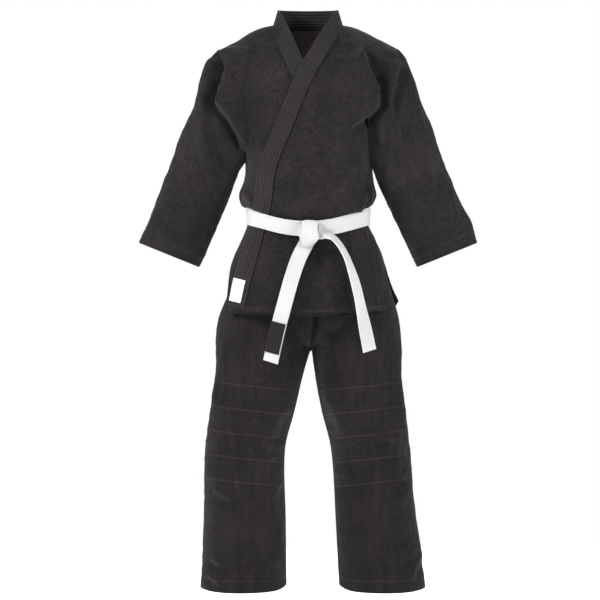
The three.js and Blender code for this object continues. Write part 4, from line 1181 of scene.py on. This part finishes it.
angle = np.linspace(0, 2 * math.pi, 200, endpoint=False)[None, :]
z = np.linspace(waistForm["top"] - waistForm["height"], waistForm["top"], 13)[:, None]
points, outward = waistPoints(angle + 0 * z, z + 0 * angle, 1.2 + 0 * z * angle)
around = runningLength(points, 1)
cloth = np.stack([around, z - z.min() + 0 * around], -1)
waistMesh = gridMesh("trouserWaistband", points, wrapAround(cloth, waistForm["girth"]), outward,
                     closed=True)
waistband = finishCloth(waistMesh, waistForm["thickness"], cloths["drill"])
loops = []
for name, degrees in (("drawstringLoopLeft", 70), ("drawstringLoopRight", 110)):
    angle = math.radians(degrees) + np.linspace(-0.045, 0.045, 7)[None, :]
    v = np.linspace(0, 1, 21)[:, None]
    z = waistForm["top"] - waistForm["height"] * mix(0.1, 0.9, v) + 0 * angle
    points, outward = waistPoints(angle + 0 * z, z, 4.0 + 4.0 * np.sin(math.pi * v) + 0 * angle)
    cloth = np.stack([angle * 120 + 0 * v, z], -1)
    loops.append(finishCloth(gridMesh(name, points, cloth, outward), 1.2, cloths["drill"]))

# the gusset lies inside the round crotch
gussetForm = dict(halfWidth=18, reach=104, inset=4.0, thickness=1.2)
swing = np.linspace(-0.6, 0.6, 41)[:, None] * math.pi
gussetShare = np.linspace(-1, 1, 9)[None, :]
inset = gussetForm["inset"]
taper = 1 - ease(0.35, 1.15, np.abs(swing) / (0.62 * math.pi))
points = np.stack(np.broadcast_arrays(
    gussetShare * gussetForm["halfWidth"] * taper, (gussetForm["reach"] - inset) * np.sin(swing),
    crotchZ + form["crotchRound"] - (form["crotchRound"] - inset) * np.cos(swing)), -1)
outward = np.stack(np.broadcast_arrays(0 * gussetShare, np.sin(swing), -np.cos(swing)), -1)
cloth = np.stack(np.broadcast_arrays(gussetShare * gussetForm["halfWidth"], swing * 118), -1)
gusset = finishCloth(gridMesh("crotchGusset", points, cloth, outward), gussetForm["thickness"],
                     cloths["drill"])
print("waistband and gusset made")

# what each piece rides on, stands for and was cut from

jacketSlot, bandSlot, drillSlot = "jacket_weave", "collar_band", "trouser_drill"
beltSlot = "belt_white"
for obj, nodes, slot in (
        (over, ["jacket_front_over", "skirt_front_over"], jacketSlot),
        (under, ["jacket_front_under", "skirt_front_under"], jacketSlot),
        (yoke, ["yoke_lining"], jacketSlot),
        (band, ["collar_back", "lapel_under", "lapel_over", "lapel_under_lower",
                "lapel_over_lower"], bandSlot),
        (label, ["label_patch"], "label_white"),
        (tacks[0], ["vent_gusset_left"], jacketSlot), (tacks[1], ["vent_gusset_right"], jacketSlot),
        (wraps[0], ["belt_wrap_inner"], beltSlot), (wraps[1], ["belt_wrap_outer"], beltSlot),
        (knotParts[0], ["belt_knot"], beltSlot), (knotParts[1], [], beltSlot),
        (knotParts[2], [], beltSlot),
        (waistband, ["waistband"], drillSlot), (loops[0], ["drawstring_loop_left"], drillSlot),
        (loops[1], ["drawstring_loop_right"], drillSlot), (gusset, ["crotch_gusset"], drillSlot)):
    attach(obj, rootBody)
    if nodes:
        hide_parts(*nodes)
for obj, body, nodes, slot in (
        (rankBar, "belt_tail_right_body", ["rank_bar_front", "rank_bar_rear"], "rank_bar_black"),
        (tailLeft, "belt_tail_left_body", ["belt_tail_left"], beltSlot),
        (patches["Left"], "leg_left", ["knee_patch_left"], drillSlot),
        (patches["Right"], "leg_right", ["knee_patch_right"], drillSlot)):
    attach(obj, body)
    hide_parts(*nodes)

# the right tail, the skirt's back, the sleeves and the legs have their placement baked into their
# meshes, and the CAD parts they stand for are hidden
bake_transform(tailRight)
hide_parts("belt_tail_right")
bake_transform(back)
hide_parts("jacket_back_left", "jacket_back_right", "skirt_back_left", "skirt_back_right")
slope = np.array([273.0, 0, -77.0]) / math.hypot(273, 77)
for name, side in (("Left", 1), ("Right", -1)):
    turned = slope * [side, 1, 1] * metre
    low, high = turned * 256, turned * 366
    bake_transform(sleeves[name], rootBody, "sleeve_" + name.lower() + "_body", start=tuple(low),
             end=tuple(high))
    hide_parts("sleeve_" + name.lower(), "cuff_facing_" + name.lower())
    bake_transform(trousers[name], rootBody, "leg_" + name.lower(), start=(0, 0, -0.79),
             end=(0, 0, -0.925))
    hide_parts(*[part + name.lower() for part in (
        "seat_front_", "seat_back_", "leg_front_", "leg_back_", "hem_facing_")])

for obj, width, length, filled, held, rests in (
        (over, 460, 770, 0.69, "draped", []), (under, 440, 770, 0.69, "draped", []),
        (back, 660, 770, 0.63, "draped", []), (yoke, 220, 120, 1, "laid", [back]),
        (band, 44, 1780, 1, "draped", []), (label, 30, 62, 1, "laid", [band]),
        (tacks[0], 26, 36, 1, "laid", [over]), (tacks[1], 26, 36, 1, "laid", [under]),
        (sleeves["Left"], 700, 560, 0.64, "draped", []),
        (sleeves["Right"], 700, 560, 0.64, "draped", []),
        (wraps[0], 39, 900, 1, "stretched", []), (wraps[1], 39, 910, 1, "stretched", [wraps[0]]),
        (knotParts[0], 39, 110, 1, "folded", [wraps[1]]),
        (knotParts[1], 36, 100, 1, "folded", [wraps[1]]),
        (knotParts[2], 20, 52, 0.85, "folded", [wraps[1]]),
        (tailRight, 39, 345, 1, "hung", [knotParts[0]]),
        (tailLeft, 39, 345, 1, "hung", [knotParts[1]]),
        (rankBar, 76, 76, 1, "folded", [tailRight]),
        (trousers["Left"], 680, 1010, 0.83, "hung", [waistband]),
        (trousers["Right"], 680, 1010, 0.83, "hung", [waistband]),
        (patches["Left"], 250, 262, 1, "laid", [trousers["Left"]]),
        (patches["Right"], 250, 262, 1, "laid", [trousers["Right"]]),
        (waistband, 800, 40, 1, "gathered", []), (loops[0], 14, 34, 1, "laid", [waistband]),
        (loops[1], 14, 34, 1, "laid", [waistband]), (gusset, 40, 400, 0.72, "laid", [])):
    declareCloth(width, length, filled)

# floor, light and camera

studio = dict(floor=-1.536, keyPower=265, fillPower=165, topPower=34, backPower=70, sky=0.16,
              floorGlow=0.72, cameraAway=14.0, frameWidth=1.56)


def areaLight(name, place, aim, size, power):  # a round lamp at place that faces aim
    data = bpy.data.lights.new(name, "AREA")
    data.shape, data.size, data.energy = "DISK", size, power
    light = bpy.data.objects.new(name, data)
    bpy.context.scene.collection.objects.link(light)
    light.location = place
    light.rotation_euler = (Vector(aim) - Vector(place)).to_track_quat("-Z", "Y").to_euler()


areaLight("keyLight", (-3.5, -2.2, 1.5), (0, 0, -0.5), 1.2, studio["keyPower"])
areaLight("fillLight", (3.6, -1.9, 0.8), (0, 0, -0.7), 1.7, studio["fillPower"])
areaLight("topLight", (0.0, -2.4, 2.6), (0, 0, -0.4), 1.6, studio["topPower"])
areaLight("backLight", (0.4, 3.4, 1.6), (0, 0, -0.7), 2.4, studio["backPower"])

floorShader = Shader("pale floor")
floorSurface = floorShader.node("ShaderNodeBsdfPrincipled", {}, {
    "Base Color": (0.9, 0.9, 0.9, 1), "Roughness": 0.9, "Emission Color": (1, 1, 1, 1),
    "Emission Strength": studio["floorGlow"]}, out="BSDF")
floorShader.tree.links.new(floorSurface.socket, floorShader.output.inputs["Surface"])
floorMesh = bpy.data.meshes.new("studioFloor")
floorMesh.from_pydata([(x, y, studio["floor"]) for x, y in ((-4, -4), (4, -4), (4, 4), (-4, 4))],
                      [], [(0, 1, 2, 3)])
floorMesh.materials.append(floorShader.material)
floor = bpy.data.objects.new("studioFloor", floorMesh)
bpy.context.scene.collection.objects.link(floor)

world = bpy.data.worlds.new("studio")
world.use_nodes = True
nodes, links = world.node_tree.nodes, world.node_tree.links
nodes.clear()
seen = nodes.new("ShaderNodeLightPath")
skies = [nodes.new("ShaderNodeBackground") for _ in range(2)]
skies[0].inputs["Strength"].default_value = studio["sky"]
skies[1].inputs["Strength"].default_value = 1.0
for sky in skies:
    sky.inputs["Color"].default_value = (1, 1, 1, 1)
choice = nodes.new("ShaderNodeMixShader")
links.new(seen.outputs["Is Camera Ray"], choice.inputs[0])
links.new(skies[0].outputs[0], choice.inputs[1])
links.new(skies[1].outputs[0], choice.inputs[2])
links.new(choice.outputs[0], nodes.new("ShaderNodeOutputWorld").inputs["Surface"])
bpy.context.scene.world = world
bpy.context.scene.view_settings.view_transform = "Standard"

cameraData = bpy.data.cameras.new("studioCamera")
cameraData.sensor_width = 36
cameraData.lens = 36 * studio["cameraAway"] / studio["frameWidth"]
camera = bpy.data.objects.new("studioCamera", cameraData)
bpy.context.scene.collection.objects.link(camera)
camera.location = (-0.021, -studio["cameraAway"], -0.712)
camera.rotation_euler = (math.radians(90), 0, 0)
bpy.context.scene.camera = camera

print("scene finished")
